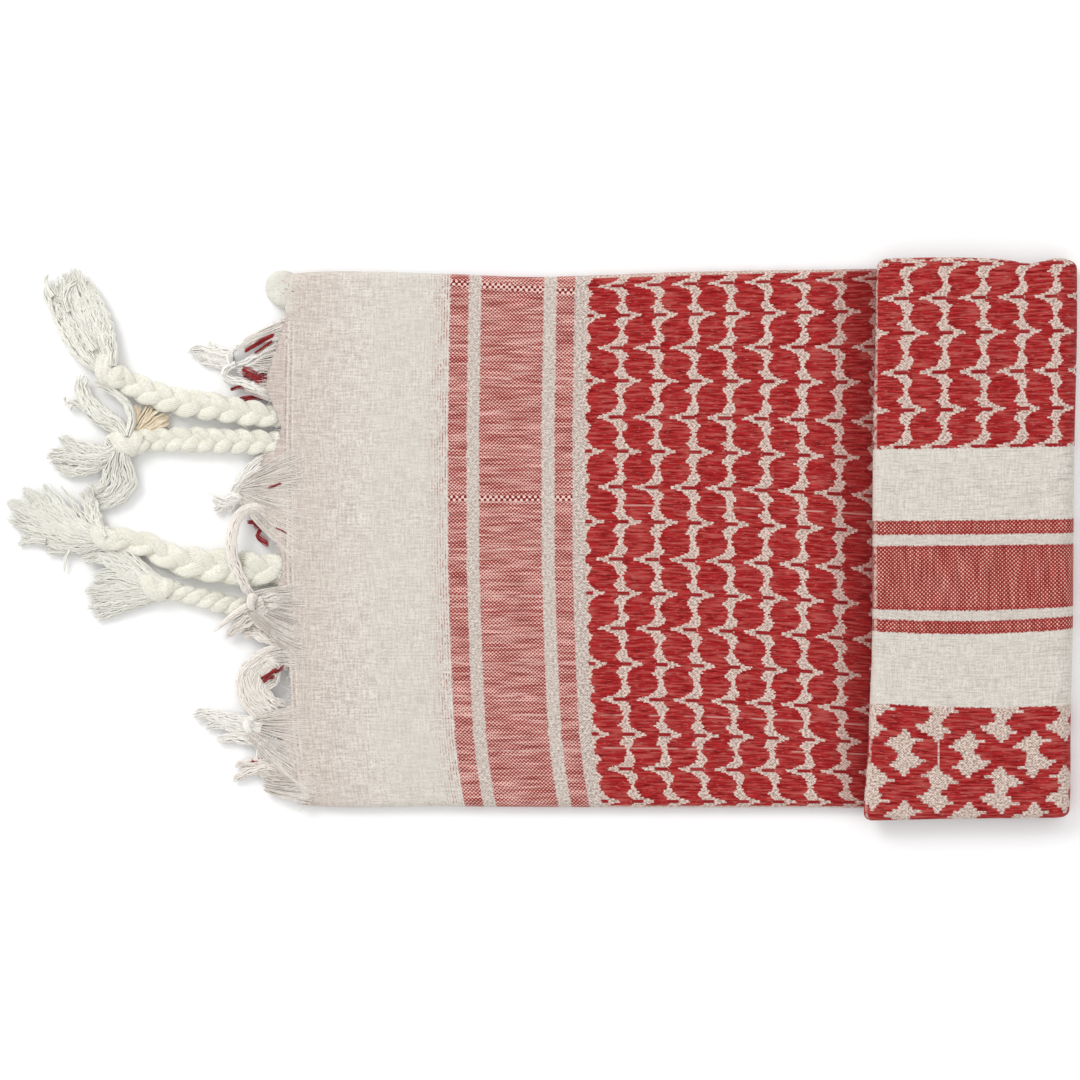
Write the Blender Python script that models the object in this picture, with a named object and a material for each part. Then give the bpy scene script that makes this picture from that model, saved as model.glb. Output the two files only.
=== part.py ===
"""A folded keffiyeh headscarf: a square of loose cotton, folded into a long strip of eight layers.

One end of the strip is turned over onto it. Four plaited tassels and the knotted fringe of the
other end lie out from the hem. Run with blender --background --python part.py, or from Blender's
text editor. Metres, +Z up. X runs along the strip from the fringe to the turned-over end, and the
origin is on the surface that the scarf lies on, under the middle of its box.
"""

import math
from collections import namedtuple

import bmesh
import bpy
import numpy as np
from mathutils import Vector

MM = 0.001

# The cloth: a 1.1 m square, folded in four lengthwise and then end to end
CLOTH_SIDE = 1100 * MM
STRIP_WIDTH = CLOTH_SIDE / 4
STACK = 7.5 * MM  # the eight layers of the strip, with the air between them
WALL = 1.2 * MM  # the outermost layer, which shows
SEAM = 0.3 * MM  # the gap between pieces that lie on each other
HIDDEN = STACK - WALL - SEAM  # the layers below it, as one rounded solid

# Where the strip begins, turns over and ends, along X
HEM_X = -129.8 * MM
BEND_X = 264.6 * MM  # the middle of the round bend
FOLD_X = 175.0 * MM  # the middle of the rounded fold that the turned-over end stops at
COVERED_X = 255 * MM  # the layer that shows ends here, under the turned-over end
TURN_FROM_X = 150 * MM  # from here on the strip starts to follow the bend's slant

# Round the long edges
ROLL = 4.0 * MM  # radius of the outer layer as it rolls over a long edge
ROLL_END = math.radians(80)
FOLD_INSET = 2.4 * MM  # the outer folds of the hidden layers lie this far in from the edge
MIDDLE_INSET = 1.4 * MM
FAR_FOLDS = 3  # hidden folds stacked along the far long edge, at +Y
NEAR_FOLDS = 2
FOLD_POINTS = 3  # points round each hidden fold
FLAT_POINTS = 7  # points across each flat face, between its rounded edges
FOLD_ROUND = 0.6  # how far a fold stands out, as a share of its height
NOSE_INSET = 1.6  # where the stack thins, its edges draw in by this share of the loss

# The bend, measured to the middle of the hidden layers
LOW_Z = HIDDEN / 2
HIGH_Z = STACK + SEAM + HIDDEN / 2
BEND_Z = (LOW_Z + HIGH_Z) / 2
BEND_RADIUS = (HIGH_Z - LOW_Z) / 2
OUTER = HIDDEN / 2 + SEAM + WALL  # from the middle of the hidden layers to the cloth's face
WALL_FROM_ANGLE = 40  # degrees round the bend where the outer layer leaves the floor
WALL_TO_ANGLE = 118  # degrees round the fold where it tucks under

# How far the long edges of the strip and of the turned-over end stand out from half the strip's
# width, in millimetres
Edge = namedtuple("Edge", "x far_out near_out")
STRIP_EDGES = [
    Edge(-129.8, -0.9, -1.3),
    Edge(-121.0, -0.1, -0.7),
    Edge(-49.0, -0.7, -0.6),
    Edge(0.0, -2.3, -0.3),
    Edge(20.0, -1.7, -0.2),
    Edge(76.0, 0.3, -0.1),
    Edge(172.0, 1.9, 0.3),
    Edge(264.6, 4.1, 4.1),
]
TURNED_EDGES = [
    Edge(165.0, 6.1, 6.4),
    Edge(182.0, 6.9, 6.1),
    Edge(215.0, 7.2, 5.3),
    Edge(236.0, 6.1, 5.1),
    Edge(249.0, 4.3, 5.0),
    Edge(262.0, 6.9, 4.9),
    Edge(276.0, 5.7, 4.7),
]

# How the hem, the fold and the bend slant: their shift in X along Y, in millimetres
Slant = namedtuple("Slant", "y hem fold bend")
SLANTS = [
    Slant(-144.0, 9.2, -5.0, -1.6),
    Slant(-133.0, 8.7, -4.6, -1.5),
    Slant(-100.0, 4.9, -2.0, -1.2),
    Slant(-62.0, 1.5, -0.4, -0.6),
    Slant(0.0, 0.4, 0.0, 0.2),
    Slant(66.0, 0.0, 0.2, 1.2),
    Slant(144.0, 0.0, 2.2, 2.4),
]
HEM_SLANT_REACH = 60 * MM  # the hem's slant fades out over this length

# Soft swells of the layer that shows, as (length along X, length along Y, height) in millimetres
Swell = namedtuple("Swell", "length width height phase")
SWELLS = [
    Swell(190.0, 120.0, 0.30, 0.4),
    Swell(84.0, 210.0, 0.22, 1.9),
    Swell(61.0, 74.0, 0.12, 3.1),
]

# The tassels and the fringe. A section gives the middle of a strand bundle and its half sizes,
# a tip where a lock of its loose end stops, all in millimetres.
Section = namedtuple("Section", "x y z half_width half_height")
Tip = namedtuple("Tip", "x y bow")
Tassel = namedtuple("Tassel", "name weave weave_to columns sections tips belly")

V_PITCH = 8.6 * MM  # from one crossing of a plait to the next
WEAVE_FADE = 7 * MM  # a plait runs smooth over this length before its tie
RING_PITCH = 2.2 * MM
LOOSE_PITCH = 3.1 * MM
PLAIN_PITCH = 4.2 * MM
ROOT_GAP = 0.45 * MM  # from the hem to the root of a bundle
ROOT_REACH = 9 * MM  # a bundle leaves the hem square to it, and has turned its own way by here
STRAND_SHARE = 0.58  # a plait's strand, as a share of its half height
PLY_SHARE = 0.62  # a rope's ply, likewise
CORE_SHARE = 0.8  # a plait is filled to this share of its oval between its strands
FLOOR_GAP = 0.4 * MM
LOCK_STEPS = ((0.34, 1.0), (0.74, 0.72), (1.0, 0.16))  # along a lock, and its width there
LOCK_INSET = 0.12 * MM
CONTROL_SHARE = 0.19  # how far a lock runs on along its tassel before it turns to its tip
LOCK_FLATNESS = 0.6  # a lock's height, as a share of its root's

PLAITS = [
    Tassel(
        "tassel_1", "plait", 0.58, 4,
        [
            Section(-131.2, 62.6, 3.4, 5.6, 2.7),
            Section(-149.8, 65.2, 5.0, 7.0, 4.4),
            Section(-164.7, 67.7, 5.0, 7.5, 4.5),
            Section(-191.3, 72.3, 5.0, 7.5, 4.5),
            Section(-205.0, 77.8, 5.0, 7.2, 4.5),
            Section(-214.5, 82.4, 5.2, 6.6, 4.6),
            Section(-221.8, 86.6, 6.2, 8.0, 5.7),
            Section(-226.2, 91.6, 5.0, 5.6, 4.2),
            Section(-229.6, 98.0, 5.4, 9.4, 4.8),
            Section(-234.0, 107.0, 5.2, 12.4, 4.6),
            Section(-239.4, 116.0, 4.8, 12.6, 4.2),
        ],
        [Tip(-255.2, 134.6, 0.0), Tip(-249.6, 138.4, 0.0), Tip(-242.6, 138.8, 0.0),
         Tip(-234.4, 132.6, 0.0)],
        0.8,
    ),
    Tassel(
        "tassel_2", "plait", 0.80, 4,
        [
            Section(-131.2, 49.8, 3.4, 5.6, 2.7),
            Section(-146.0, 50.2, 4.9, 6.6, 4.3),
            Section(-161.6, 50.8, 4.9, 6.9, 4.4),
            Section(-183.1, 51.8, 4.9, 6.9, 4.4),
            Section(-203.1, 50.8, 4.9, 6.4, 4.4),
            Section(-212.0, 49.8, 6.0, 7.4, 5.6),
            Section(-218.0, 49.4, 5.0, 6.6, 4.4),
            Section(-223.4, 48.8, 5.0, 9.6, 4.3),
        ],
        [Tip(-226.0, 18.4, -3.0), Tip(-245.5, 33.0, 0.0), Tip(-255.4, 49.0, 0.0),
         Tip(-239.6, 80.0, 3.0)],
        1.1,
    ),
    Tassel(
        "tassel_3", "plait", 0.80, 6,
        [
            Section(-131.2, -15.4, 3.4, 7.4, 2.7),
            Section(-146.7, -15.4, 5.2, 9.4, 4.8),
            Section(-162.1, -13.9, 5.2, 9.6, 4.8),
            Section(-178.0, -12.2, 5.2, 8.8, 4.8),
            Section(-189.8, -9.4, 5.1, 7.8, 4.6),
            Section(-200.6, -3.6, 5.0, 7.0, 4.5),
            Section(-213.4, -0.5, 5.0, 6.5, 4.4),
            Section(-223.4, 1.0, 5.2, 6.6, 4.8),
            Section(-229.6, 3.4, 5.0, 10.4, 4.4),
            Section(-235.4, 6.0, 4.9, 12.6, 4.2),
            Section(-240.6, 8.4, 4.6, 13.2, 3.8),
        ],
        [Tip(-256.4, -8.0, 0.0), Tip(-270.4, -2.6, 0.0), Tip(-275.4, 12.4, 0.0),
         Tip(-267.4, 28.0, 0.0), Tip(-254.6, 32.4, 0.0), Tip(-240.0, 32.6, 0.0)],
        1.1,
    ),
    Tassel(
        "tassel_4", "rope", 0.70, 4,
        [
            Section(-131.2, -34.4, 3.6, 4.7, 2.8),
            Section(-144.0, -34.4, 4.4, 5.2, 3.9),
            Section(-154.4, -33.9, 4.6, 5.4, 4.2),
            Section(-174.9, -29.8, 4.6, 5.5, 4.2),
            Section(-187.5, -26.2, 4.6, 5.4, 4.2),
            Section(-197.0, -24.6, 5.8, 7.2, 5.3),
            Section(-203.2, -24.4, 4.6, 5.6, 4.0),
            Section(-208.4, -24.8, 4.8, 9.4, 4.0),
            Section(-214.0, -25.0, 4.6, 12.4, 3.8),
        ],
        [Tip(-228.6, -11.4, 0.0), Tip(-231.6, -20.6, 0.0), Tip(-233.0, -30.0, 0.0),
         Tip(-231.0, -39.8, 0.0)],
        0.9,
    ),
]

FRINGE = [
    Tassel(
        "corner_fringe", "plain", 0.0, 2,
        [
            Section(-130.9, 122.0, 5.6, 5.0, 1.4),
            Section(-135.6, 124.4, 4.8, 3.8, 2.8),
            Section(-137.0, 129.6, 4.4, 4.4, 3.8),
            Section(-136.0, 134.2, 4.0, 3.6, 3.2),
        ],
        [Tip(-136.6, 138.6, 0.0), Tip(-132.6, 138.2, 0.0)],
        0.9,
    ),
    Tassel(
        "upper_fringe", "plain", 0.0, 2,
        [
            Section(-130.9, 111.2, 5.8, 4.2, 1.3),
            Section(-136.4, 108.4, 3.8, 2.6, 2.0),
            Section(-145.0, 106.2, 3.0, 2.2, 2.1),
            Section(-154.6, 100.8, 3.0, 2.3, 2.1),
            Section(-160.0, 97.4, 3.9, 3.9, 3.4),
            Section(-163.8, 96.0, 3.0, 2.2, 2.2),
            Section(-167.4, 96.4, 3.0, 4.2, 2.2),
        ],
        [Tip(-175.6, 92.4, 0.0), Tip(-182.6, 97.8, 0.0)],
        0.9,
    ),
    Tassel(
        "upper_loop_fringe", "plain", 0.0, 2,
        [
            Section(-130.9, 99.6, 5.8, 5.6, 1.3),
            Section(-135.8, 98.8, 3.8, 3.4, 2.0),
            Section(-140.6, 94.6, 3.0, 2.4, 2.2),
            Section(-145.6, 89.6, 3.0, 2.4, 2.2),
            Section(-152.6, 87.0, 3.0, 2.5, 2.2),
            Section(-158.6, 85.4, 3.4, 3.4, 2.8),
            Section(-162.4, 84.6, 3.0, 2.8, 2.0),
        ],
        [Tip(-169.4, 81.0, 0.0), Tip(-170.6, 86.4, 0.0)],
        0.9,
    ),
    Tassel(
        "middle_fringe", "plain", 0.0, 2,
        [
            Section(-130.8, 26.4, 5.8, 12.4, 1.3),
            Section(-136.8, 31.4, 4.4, 6.4, 1.8),
            Section(-142.4, 34.2, 3.4, 3.4, 2.3),
            Section(-147.4, 33.8, 3.8, 3.7, 3.2),
            Section(-151.8, 30.4, 3.0, 2.4, 2.2),
            Section(-156.0, 26.8, 3.0, 4.6, 2.3),
        ],
        [Tip(-164.8, 17.8, 0.0), Tip(-172.4, 24.8, 0.0)],
        0.95,
    ),
    Tassel(
        "crossing_fringe", "plain", 0.0, 2,
        [
            Section(-130.8, 8.6, 6.0, 4.2, 1.3),
            Section(-136.0, 9.6, 4.4, 2.6, 2.0),
            Section(-144.0, 13.8, 3.4, 2.2, 2.1),
            Section(-152.4, 13.6, 5.4, 2.3, 2.2),
            Section(-157.4, 6.4, 9.6, 2.3, 2.2),
            Section(-158.2, -3.0, 12.2, 2.3, 2.0),
            Section(-155.4, -12.0, 13.0, 2.3, 2.0),
            Section(-151.6, -19.6, 12.4, 2.4, 2.0),
            Section(-149.4, -25.4, 11.6, 1.2, 1.0),
        ],
        [],
        0.0,
    ),
    Tassel(
        "knotted_fringe", "plain", 0.0, 2,
        [
            Section(-130.6, -45.6, 6.2, 6.0, 1.3),
            Section(-136.6, -41.8, 7.6, 5.4, 1.7),
            Section(-143.0, -37.4, 11.4, 3.2, 2.0),
            Section(-149.4, -34.4, 12.6, 3.9, 3.0),
            Section(-154.2, -36.8, 11.2, 2.4, 2.0),
            Section(-158.4, -41.4, 7.4, 3.2, 2.0),
        ],
        [Tip(-162.6, -49.4, 0.0), Tip(-168.0, -45.8, 0.0)],
        0.85,
    ),
    Tassel(
        "loop_fringe", "plain", 0.0, 2,
        [
            Section(-129.8, -57.6, 5.8, 5.0, 1.3),
            Section(-136.4, -57.2, 4.4, 3.4, 1.9),
            Section(-144.4, -59.8, 3.2, 2.7, 2.3),
            Section(-150.6, -65.6, 3.2, 2.6, 2.4),
            Section(-153.4, -73.6, 3.2, 2.6, 2.4),
            Section(-151.8, -82.0, 3.2, 2.6, 2.4),
            Section(-146.4, -88.8, 3.2, 2.8, 2.4),
            Section(-139.6, -89.8, 3.4, 3.0, 2.3),
            Section(-133.4, -86.2, 4.2, 3.0, 2.0),
            Section(-128.4, -84.4, 5.6, 3.0, 1.3),
        ],
        [],
        0.0,
    ),
    Tassel(
        "lower_fringe", "plain", 0.0, 2,
        [
            Section(-125.8, -103.4, 5.8, 12.2, 1.3),
            Section(-133.4, -102.6, 4.6, 7.8, 1.8),
            Section(-141.6, -100.0, 3.4, 4.0, 2.3),
            Section(-150.0, -96.2, 4.0, 4.1, 3.4),
            Section(-155.6, -94.6, 3.0, 2.5, 2.2),
            Section(-160.2, -94.0, 3.2, 4.8, 2.4),
        ],
        [Tip(-168.6, -103.4, 0.0), Tip(-180.4, -89.4, 0.0)],
        0.9,
    ),
    Tassel(
        "bottom_fringe", "plain", 0.0, 2,
        [
            Section(-122.6, -127.0, 5.6, 5.4, 1.5),
            Section(-128.8, -127.6, 4.6, 5.0, 2.2),
            Section(-135.2, -126.2, 3.8, 4.4, 2.8),
            Section(-139.8, -121.4, 3.8, 3.6, 3.2),
            Section(-143.2, -116.6, 3.4, 2.6, 2.4),
            Section(-147.4, -115.2, 3.2, 4.0, 2.2),
        ],
        [Tip(-157.6, -123.6, 0.0), Tip(-158.6, -114.0, 0.0)],
        0.95,
    ),
]

MATERIALS = {
    # name: colour, roughness
    "white_cotton": ((0.78, 0.74, 0.70), 0.9),
    "red_figured_cotton": ((0.52, 0.03, 0.05), 0.88),
    "folded_edges": ((0.66, 0.34, 0.32), 0.9),
    "cream_cord": ((0.82, 0.81, 0.72), 0.85),
    "fringe_yarn": ((0.76, 0.68, 0.64), 0.9),
}


def clear_scene():
    for item in list(bpy.data.objects):
        bpy.data.objects.remove(item, do_unlink=True)


def new_material(name):
    colour, roughness = MATERIALS[name]
    material = bpy.data.materials.new(name)
    material.use_nodes = True
    shader = material.node_tree.nodes["Principled BSDF"]
    shader.inputs["Base Color"].default_value = (*colour, 1)
    shader.inputs["Roughness"].default_value = roughness
    shader.inputs["Metallic"].default_value = 0
    return material


def smooth_row(rows, at, places):
    """The row of a table at each place, by a smooth curve through its rows."""
    rows = np.array(rows, float)
    at = np.array(at, float)
    slopes = np.gradient(rows, at, axis=0)
    out = []
    for place in places:
        i = int(np.clip(np.searchsorted(at, place) - 1, 0, len(at) - 2))
        step = at[i + 1] - at[i]
        t = min(max((place - at[i]) / step, 0), 1)
        a, b = rows[i], rows[i + 1]
        start = (2 * t**3 - 3 * t**2 + 1) * a + (t**3 - 2 * t**2 + t) * step * slopes[i]
        stop = (3 * t**2 - 2 * t**3) * b + (t**3 - t**2) * step * slopes[i + 1]
        out.append(start + stop)
    return np.array(out)


def edges_at(table, x):
    """Y of the far and near long edge at x."""
    outs = smooth_row([(e.far_out, e.near_out) for e in table], [e.x for e in table], [x / MM])
    far_out, near_out = outs[0] * MM
    return STRIP_WIDTH / 2 + far_out, -STRIP_WIDTH / 2 - near_out


def slant_at(y, column):
    return float(np.interp(y / MM, [s.y for s in SLANTS], [getattr(s, column) for s in SLANTS])) * MM


def hem_at(y):
    """X of the hem of the layer that shows."""
    return HEM_X + slant_at(y, "hem")


def swell(x, y):
    """Height of the soft swells of the layer that shows, never below its flat face."""
    total = 0.0
    for s in SWELLS:
        wave = math.sin(2 * math.pi * (x / s.length + y / s.width) / MM + s.phase)
        total += s.height * MM * (1 + wave) / 2
    return total


# A station is one place along the middle of the folded stack: its angle is 0 on the lower run,
# grows round the bend and is 180 degrees on the turned-over run. half is half the thickness of
# the hidden layers there, and shift lowers their middle where the hem's layers end in steps.
Station = namedtuple("Station", "x z angle half shift table hem bend fold")


def lower_station(x, half=HIDDEN / 2, shift=0.0):
    hem = max(0.0, 1 - (x - HEM_X) / HEM_SLANT_REACH)
    bend = max(0.0, (x - TURN_FROM_X) / (BEND_X - TURN_FROM_X))
    return Station(x, LOW_Z, 0.0, half, shift, STRIP_EDGES, hem, bend, 0.0)


def bend_station(degrees):
    a = math.radians(degrees)
    x = BEND_X + BEND_RADIUS * math.sin(a)
    return Station(x, BEND_Z - BEND_RADIUS * math.cos(a), a, HIDDEN / 2, 0.0, TURNED_EDGES, 0.0, 1.0, 0.0)


def upper_station(x, half=HIDDEN / 2):
    fold = min(1.0, (BEND_X - x) / (BEND_X - FOLD_X))
    return Station(x, HIGH_Z, math.pi, half, 0.0, TURNED_EDGES, 0.0, 1 - fold, fold)


def edges_of(station):
    """The long edges at a station, which widen over the bend to the turned-over end's."""
    far, near = edges_at(station.table, station.x)
    if station.table is TURNED_EDGES and station.angle < math.pi:
        share = station.angle / math.pi
        low_far, low_near = edges_at(STRIP_EDGES, BEND_X)
        far = low_far + (far - low_far) * share
        near = low_near + (near - low_near) * share
    return far, near


def place(station, y, n, rise=0.0):
    """The point at y, n outwards from the middle of the stack, on the side away from the floor
    while on the lower run."""
    out = n + rise
    x = station.x - out * math.sin(station.angle)
    z = station.z + out * math.cos(station.angle)
    x += station.hem * slant_at(y, "hem")
    x += station.bend * slant_at(y, "bend")
    x += station.fold * slant_at(y, "fold")
    return Vector((x, y, z))


def fold_side(edge, inward, count, half):
    """Points up a long edge of the hidden layers, rounded fold by fold, from -half to half."""
    height = 2 * half / count
    edge += inward * (HIDDEN / 2 - half) * NOSE_INSET
    points = []
    for i in range(count):
        inset = FOLD_INSET if i in (0, count - 1) else MIDDLE_INSET
        for k in range(FOLD_POINTS + (i == count - 1)):
            u = k / FOLD_POINTS
            stand = FOLD_ROUND * height * (1 - math.sin(math.pi * min(u, 1)))
            points.append((edge + inward * (inset + stand), -half + (i + u) * height))
    return points


def hidden_ring(station):
    far, near = edges_of(station)
    far_side = fold_side(far, -1, FAR_FOLDS, station.half)
    near_side = fold_side(near, 1, NEAR_FOLDS, station.half)[::-1]
    top = across(far_side[-1], near_side[0])
    bottom = across(near_side[-1], far_side[0])
    ring = far_side + top + near_side + bottom
    return [place(station, y, n + station.shift) for y, n in ring]


def across(start, stop):
    """Points between two corners, without them."""
    shares = [(i + 1) / (FLAT_POINTS + 1) for i in range(FLAT_POINTS)]
    return [(start[0] + (stop[0] - start[0]) * s, start[1] + (stop[1] - start[1]) * s) for s in shares]


def wall_ring(station, side, roll_steps=4):
    """A ring round the layer that shows: its outer face from edge to edge, then its inner face.
    side is 1 on the lower run, where it lies on the stack, and -1 once the stack has turned."""
    far, near = edges_of(station)
    middle = OUTER - ROLL
    angles = [ROLL_END * (1 - i / (roll_steps - 1)) for i in range(roll_steps)]
    points = []
    for radius in (ROLL, ROLL - WALL):
        face = [(far - ROLL + radius * math.sin(a), middle + radius * math.cos(a)) for a in angles]
        end = [(near + ROLL - radius * math.sin(a), middle + radius * math.cos(a)) for a in angles[::-1]]
        face = face + across(face[-1], end[0]) + end
        points += face if radius == ROLL else face[::-1]
    fade = 1.0
    if side > 0:
        fade = min(1.0, max(0.0, (TURN_FROM_X - station.x) / (40 * MM)))
    ring = []
    for y, n in points:
        flatness = min(1.0, max(0.0, (min(far - y, y - near) - ROLL) / (3 * ROLL)))
        rise = swell(station.x, y) * fade * flatness
        ring.append(place(station, y, side * n, side * rise))
    return ring


def finish_object(name, bm, collection, material, smooth_below=50):
    bmesh.ops.recalc_face_normals(bm, faces=bm.faces[:])
    mesh = bpy.data.meshes.new(name)
    bm.to_mesh(mesh)
    bm.free()
    mesh.shade_smooth()
    mesh.set_sharp_from_angle(angle=math.radians(smooth_below))
    mesh.materials.append(material)
    item = bpy.data.objects.new(name, mesh)
    collection.objects.link(item)
    return item


def add_tube(bm, rings):
    """Skins a row of rings with quads and returns the rings' vertices."""
    rows = [[bm.verts.new(p) for p in ring] for ring in rings]
    count = len(rings[0])
    for a, b in zip(rows, rows[1:]):
        for i in range(count):
            j = (i + 1) % count
            bm.faces.new((a[i], a[j], b[j], b[i]))
    return rows


def cap_stack(bm, row):
    """Closes an end of the hidden layers: quads from the upper to the lower flat points, and a
    face at each long edge."""
    far_count = FAR_FOLDS * FOLD_POINTS + 1
    near_from = far_count + FLAT_POINTS
    near_to = near_from + NEAR_FOLDS * FOLD_POINTS + 1
    top = row[far_count:near_from]
    bottom = row[near_to:][::-1]
    for i in range(FLAT_POINTS - 1):
        bm.faces.new((top[i], top[i + 1], bottom[i + 1], bottom[i]))
    bm.faces.new(row[:far_count] + [top[0], bottom[0]])
    bm.faces.new([bottom[-1], top[-1]] + row[near_from:near_to])


def stack_loft(name, rings, collection, material):
    bm = bmesh.new()
    rows = add_tube(bm, rings)
    cap_stack(bm, rows[0])
    cap_stack(bm, rows[-1])
    return finish_object(name, bm, collection, material)


def wall_loft(name, rings, collection, material):
    """A loft whose ends are closed by quads between the outer and the inner face."""
    bm = bmesh.new()
    rows = add_tube(bm, rings)
    for row in (rows[0], rows[-1]):
        half = len(row) // 2
        for i in range(half - 1):
            bm.faces.new((row[i], row[i + 1], row[-2 - i], row[-1 - i]))
    return finish_object(name, bm, collection, material)


def lower_places():
    """X of the sections that the strip's pieces share."""
    return list(np.linspace(HEM_X + 12 * MM, COVERED_X, 22))


def upper_places():
    return list(np.linspace(BEND_X, FOLD_X, 11))


def folded_layers(collection, material):
    """All the layers under the one that shows: from the hem, round the bend, to the fold."""
    full = HIDDEN / 2
    stations = []
    for step in range(3):
        half = full * (step + 1) / 3
        x = HEM_X + (0.8 + 1.6 * step) * MM
        stations.append(lower_station(x, half, half - full))
        stations.append(lower_station(x + 1.4 * MM, half, half - full))
    stations += [lower_station(x) for x in lower_places()] + [lower_station(BEND_X)]
    stations += [bend_station(a) for a in range(20, 180, 20)]
    stations += [upper_station(x) for x in upper_places()]
    for degrees in (40, 65, 82):
        a = math.radians(degrees)
        x = FOLD_X + SEAM - full * math.sin(a)
        stations.append(upper_station(x, full * math.cos(a)))
    return stack_loft("folded_layers", [hidden_ring(s) for s in stations], collection, material)


def main_stretch(collection, material):
    """The top layer of the strip, from its hem to under the turned-over end."""
    stations = [lower_station(x) for x in [HEM_X] + lower_places()]
    return wall_loft("main_stretch", [wall_ring(s, 1) for s in stations], collection, material)


def turned_stretch(collection, material):
    """The outer layer of the turned-over end: up round the bend, along, and under its fold."""
    stations = [bend_station(a) for a in np.linspace(WALL_FROM_ANGLE, 160, 7)]
    stations += [upper_station(x) for x in upper_places()]
    rings = [wall_ring(s, -1) for s in stations]
    flat = upper_station(FOLD_X)
    for degrees in np.linspace(20, WALL_TO_ANGLE, 6):
        rings.append(turned_under(wall_ring(flat, -1), flat, math.radians(degrees)))
    return wall_loft("turned_stretch", rings, collection, material)


def turned_under(ring, station, angle):
    """A ring swung about the middle line of the fold that the turned-over end stops at."""
    out = []
    for p in ring:
        middle_x = station.x + slant_at(p.y, "fold")
        reach = p.z - station.z
        out.append(Vector((middle_x - reach * math.sin(angle), p.y, station.z + reach * math.cos(angle))))
    return out


def strand_middles(weave, phase, half_width, half_height):
    """Where the strands of a plait or a rope lie across it, and how thick each is."""
    if weave == "plait":
        radius = STRAND_SHARE * half_height
        turns = [phase + 2 * math.pi * k / 3 for k in range(3)]
        across_it = [math.sin(t) for t in turns]
        upwards = [math.sin(2 * t) for t in turns]
    else:
        radius = PLY_SHARE * half_height
        turns = [phase / 2 + math.pi * k for k in range(2)]
        across_it = [math.cos(t) for t in turns]
        upwards = [math.sin(t) for t in turns]
    wide, high = half_width - radius, half_height - radius
    return [(wide * a, high * u) for a, u in zip(across_it, upwards)], radius


def woven_reach(weave, angle, phase, half_width, half_height):
    """How far a plait reaches from its middle in one direction."""
    places, radius = strand_middles(weave, phase, half_width, half_height)
    ux, uz = math.cos(angle), math.sin(angle)
    reach = CORE_SHARE * oval_reach(angle, half_width, half_height)
    for px, pz in places:
        beside = px * uz - pz * ux
        if abs(beside) < radius:
            reach = max(reach, px * ux + pz * uz + math.sqrt(radius**2 - beside**2))
    return reach


def oval_reach(angle, half_width, half_height):
    return 1 / math.hypot(math.cos(angle) / half_width, math.sin(angle) / half_height)


def tassel_rings(tassel):
    """Rings along a tassel, with the last ring's middle and axes."""
    rows = np.array(tassel.sections, float) * MM
    rows[0, 0] = hem_at(rows[0, 1]) - ROOT_GAP
    from_hem = Vector((-1, (hem_at(rows[0, 1] + MM) - hem_at(rows[0, 1])) / MM, 0)).normalized()
    lengths = np.linalg.norm(np.diff(rows[:, :3], axis=0), axis=1)
    at = np.concatenate([[0], np.cumsum(lengths)])
    woven_end = tassel.weave_to * at[-1]
    places = list(np.arange(0, woven_end, RING_PITCH))
    loose = at[-1] - woven_end
    places += list(np.linspace(woven_end, at[-1], round(loose / LOOSE_PITCH)))
    if tassel.weave == "plain":
        places = list(np.linspace(0, at[-1], round(at[-1] / PLAIN_PITCH) + 3))
    middles = smooth_row(rows, at, places)
    count = 2 * (tassel.columns + 2)
    step = 2 * math.pi / count
    rings = []
    for i, (x, y, z, half_width, half_height) in enumerate(middles):
        ahead = middles[min(i + 1, len(middles) - 1), :3] - middles[max(i - 1, 0), :3]
        turned = min(1.0, places[i] / ROOT_REACH)
        along = from_hem.lerp(Vector(ahead).normalized(), turned).normalized()
        side = along.cross(Vector((0, 0, 1))).normalized()
        up = side.cross(along)
        phase = 2 * math.pi * places[i] / (3 * V_PITCH)
        ring = []
        for k in range(count):
            turn = -math.pi + step * (k + 1)
            angle = math.atan2(half_height * math.sin(turn), half_width * math.cos(turn))
            reach = oval_reach(angle, half_width, half_height)
            woven = min(1.0, max(0.0, (woven_end - places[i]) / WEAVE_FADE))
            if woven:
                full = woven_reach(tassel.weave, angle, phase, half_width, half_height)
                reach += (full - reach) * woven
            point = Vector((x, y, z)) + side * reach * math.cos(angle) + up * reach * math.sin(angle)
            point.z = max(point.z, FLOOR_GAP)
            ring.append(point)
        rings.append(ring)
    return rings, Vector(middles[-1, :3]), along, side, up


def add_lock(bm, face, tip, belly, side, up, along):
    """Draws one lock out of a face of the head: four-sided, bowed, and tapering to its tip."""
    root = face.calc_center_median()
    corners = [((v.co - root).dot(side), (v.co - root).dot(up)) for v in face.verts]
    target = Vector((tip.x * MM, tip.y * MM, tip.z))
    reach = target - root
    control = root + (along * reach.length + reach) * CONTROL_SHARE + tip.sideways
    for share, width_share in LOCK_STEPS:
        middle = root * (1 - share) ** 2 + control * 2 * share * (1 - share) + target * share**2
        heading = ((control - root) * (1 - share) + (target - control) * share).normalized()
        across_it = heading.cross(Vector((0, 0, 1))).normalized()
        before = [(v.co.copy(), corner) for v, corner in zip(face.verts, corners)]
        face = bmesh.ops.extrude_discrete_faces(bm, faces=[face])["faces"][0]
        corners = [min(before, key=lambda b: (b[0] - v.co).length)[1] for v in face.verts]
        for vertex, (s, u) in zip(face.verts, corners):
            vertex.co = middle + across_it * s * belly * width_share
            vertex.co.z += u * LOCK_FLATNESS * width_share
            vertex.co.z = max(vertex.co.z, FLOOR_GAP)


Lock = namedtuple("Lock", "x y z sideways")


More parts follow.
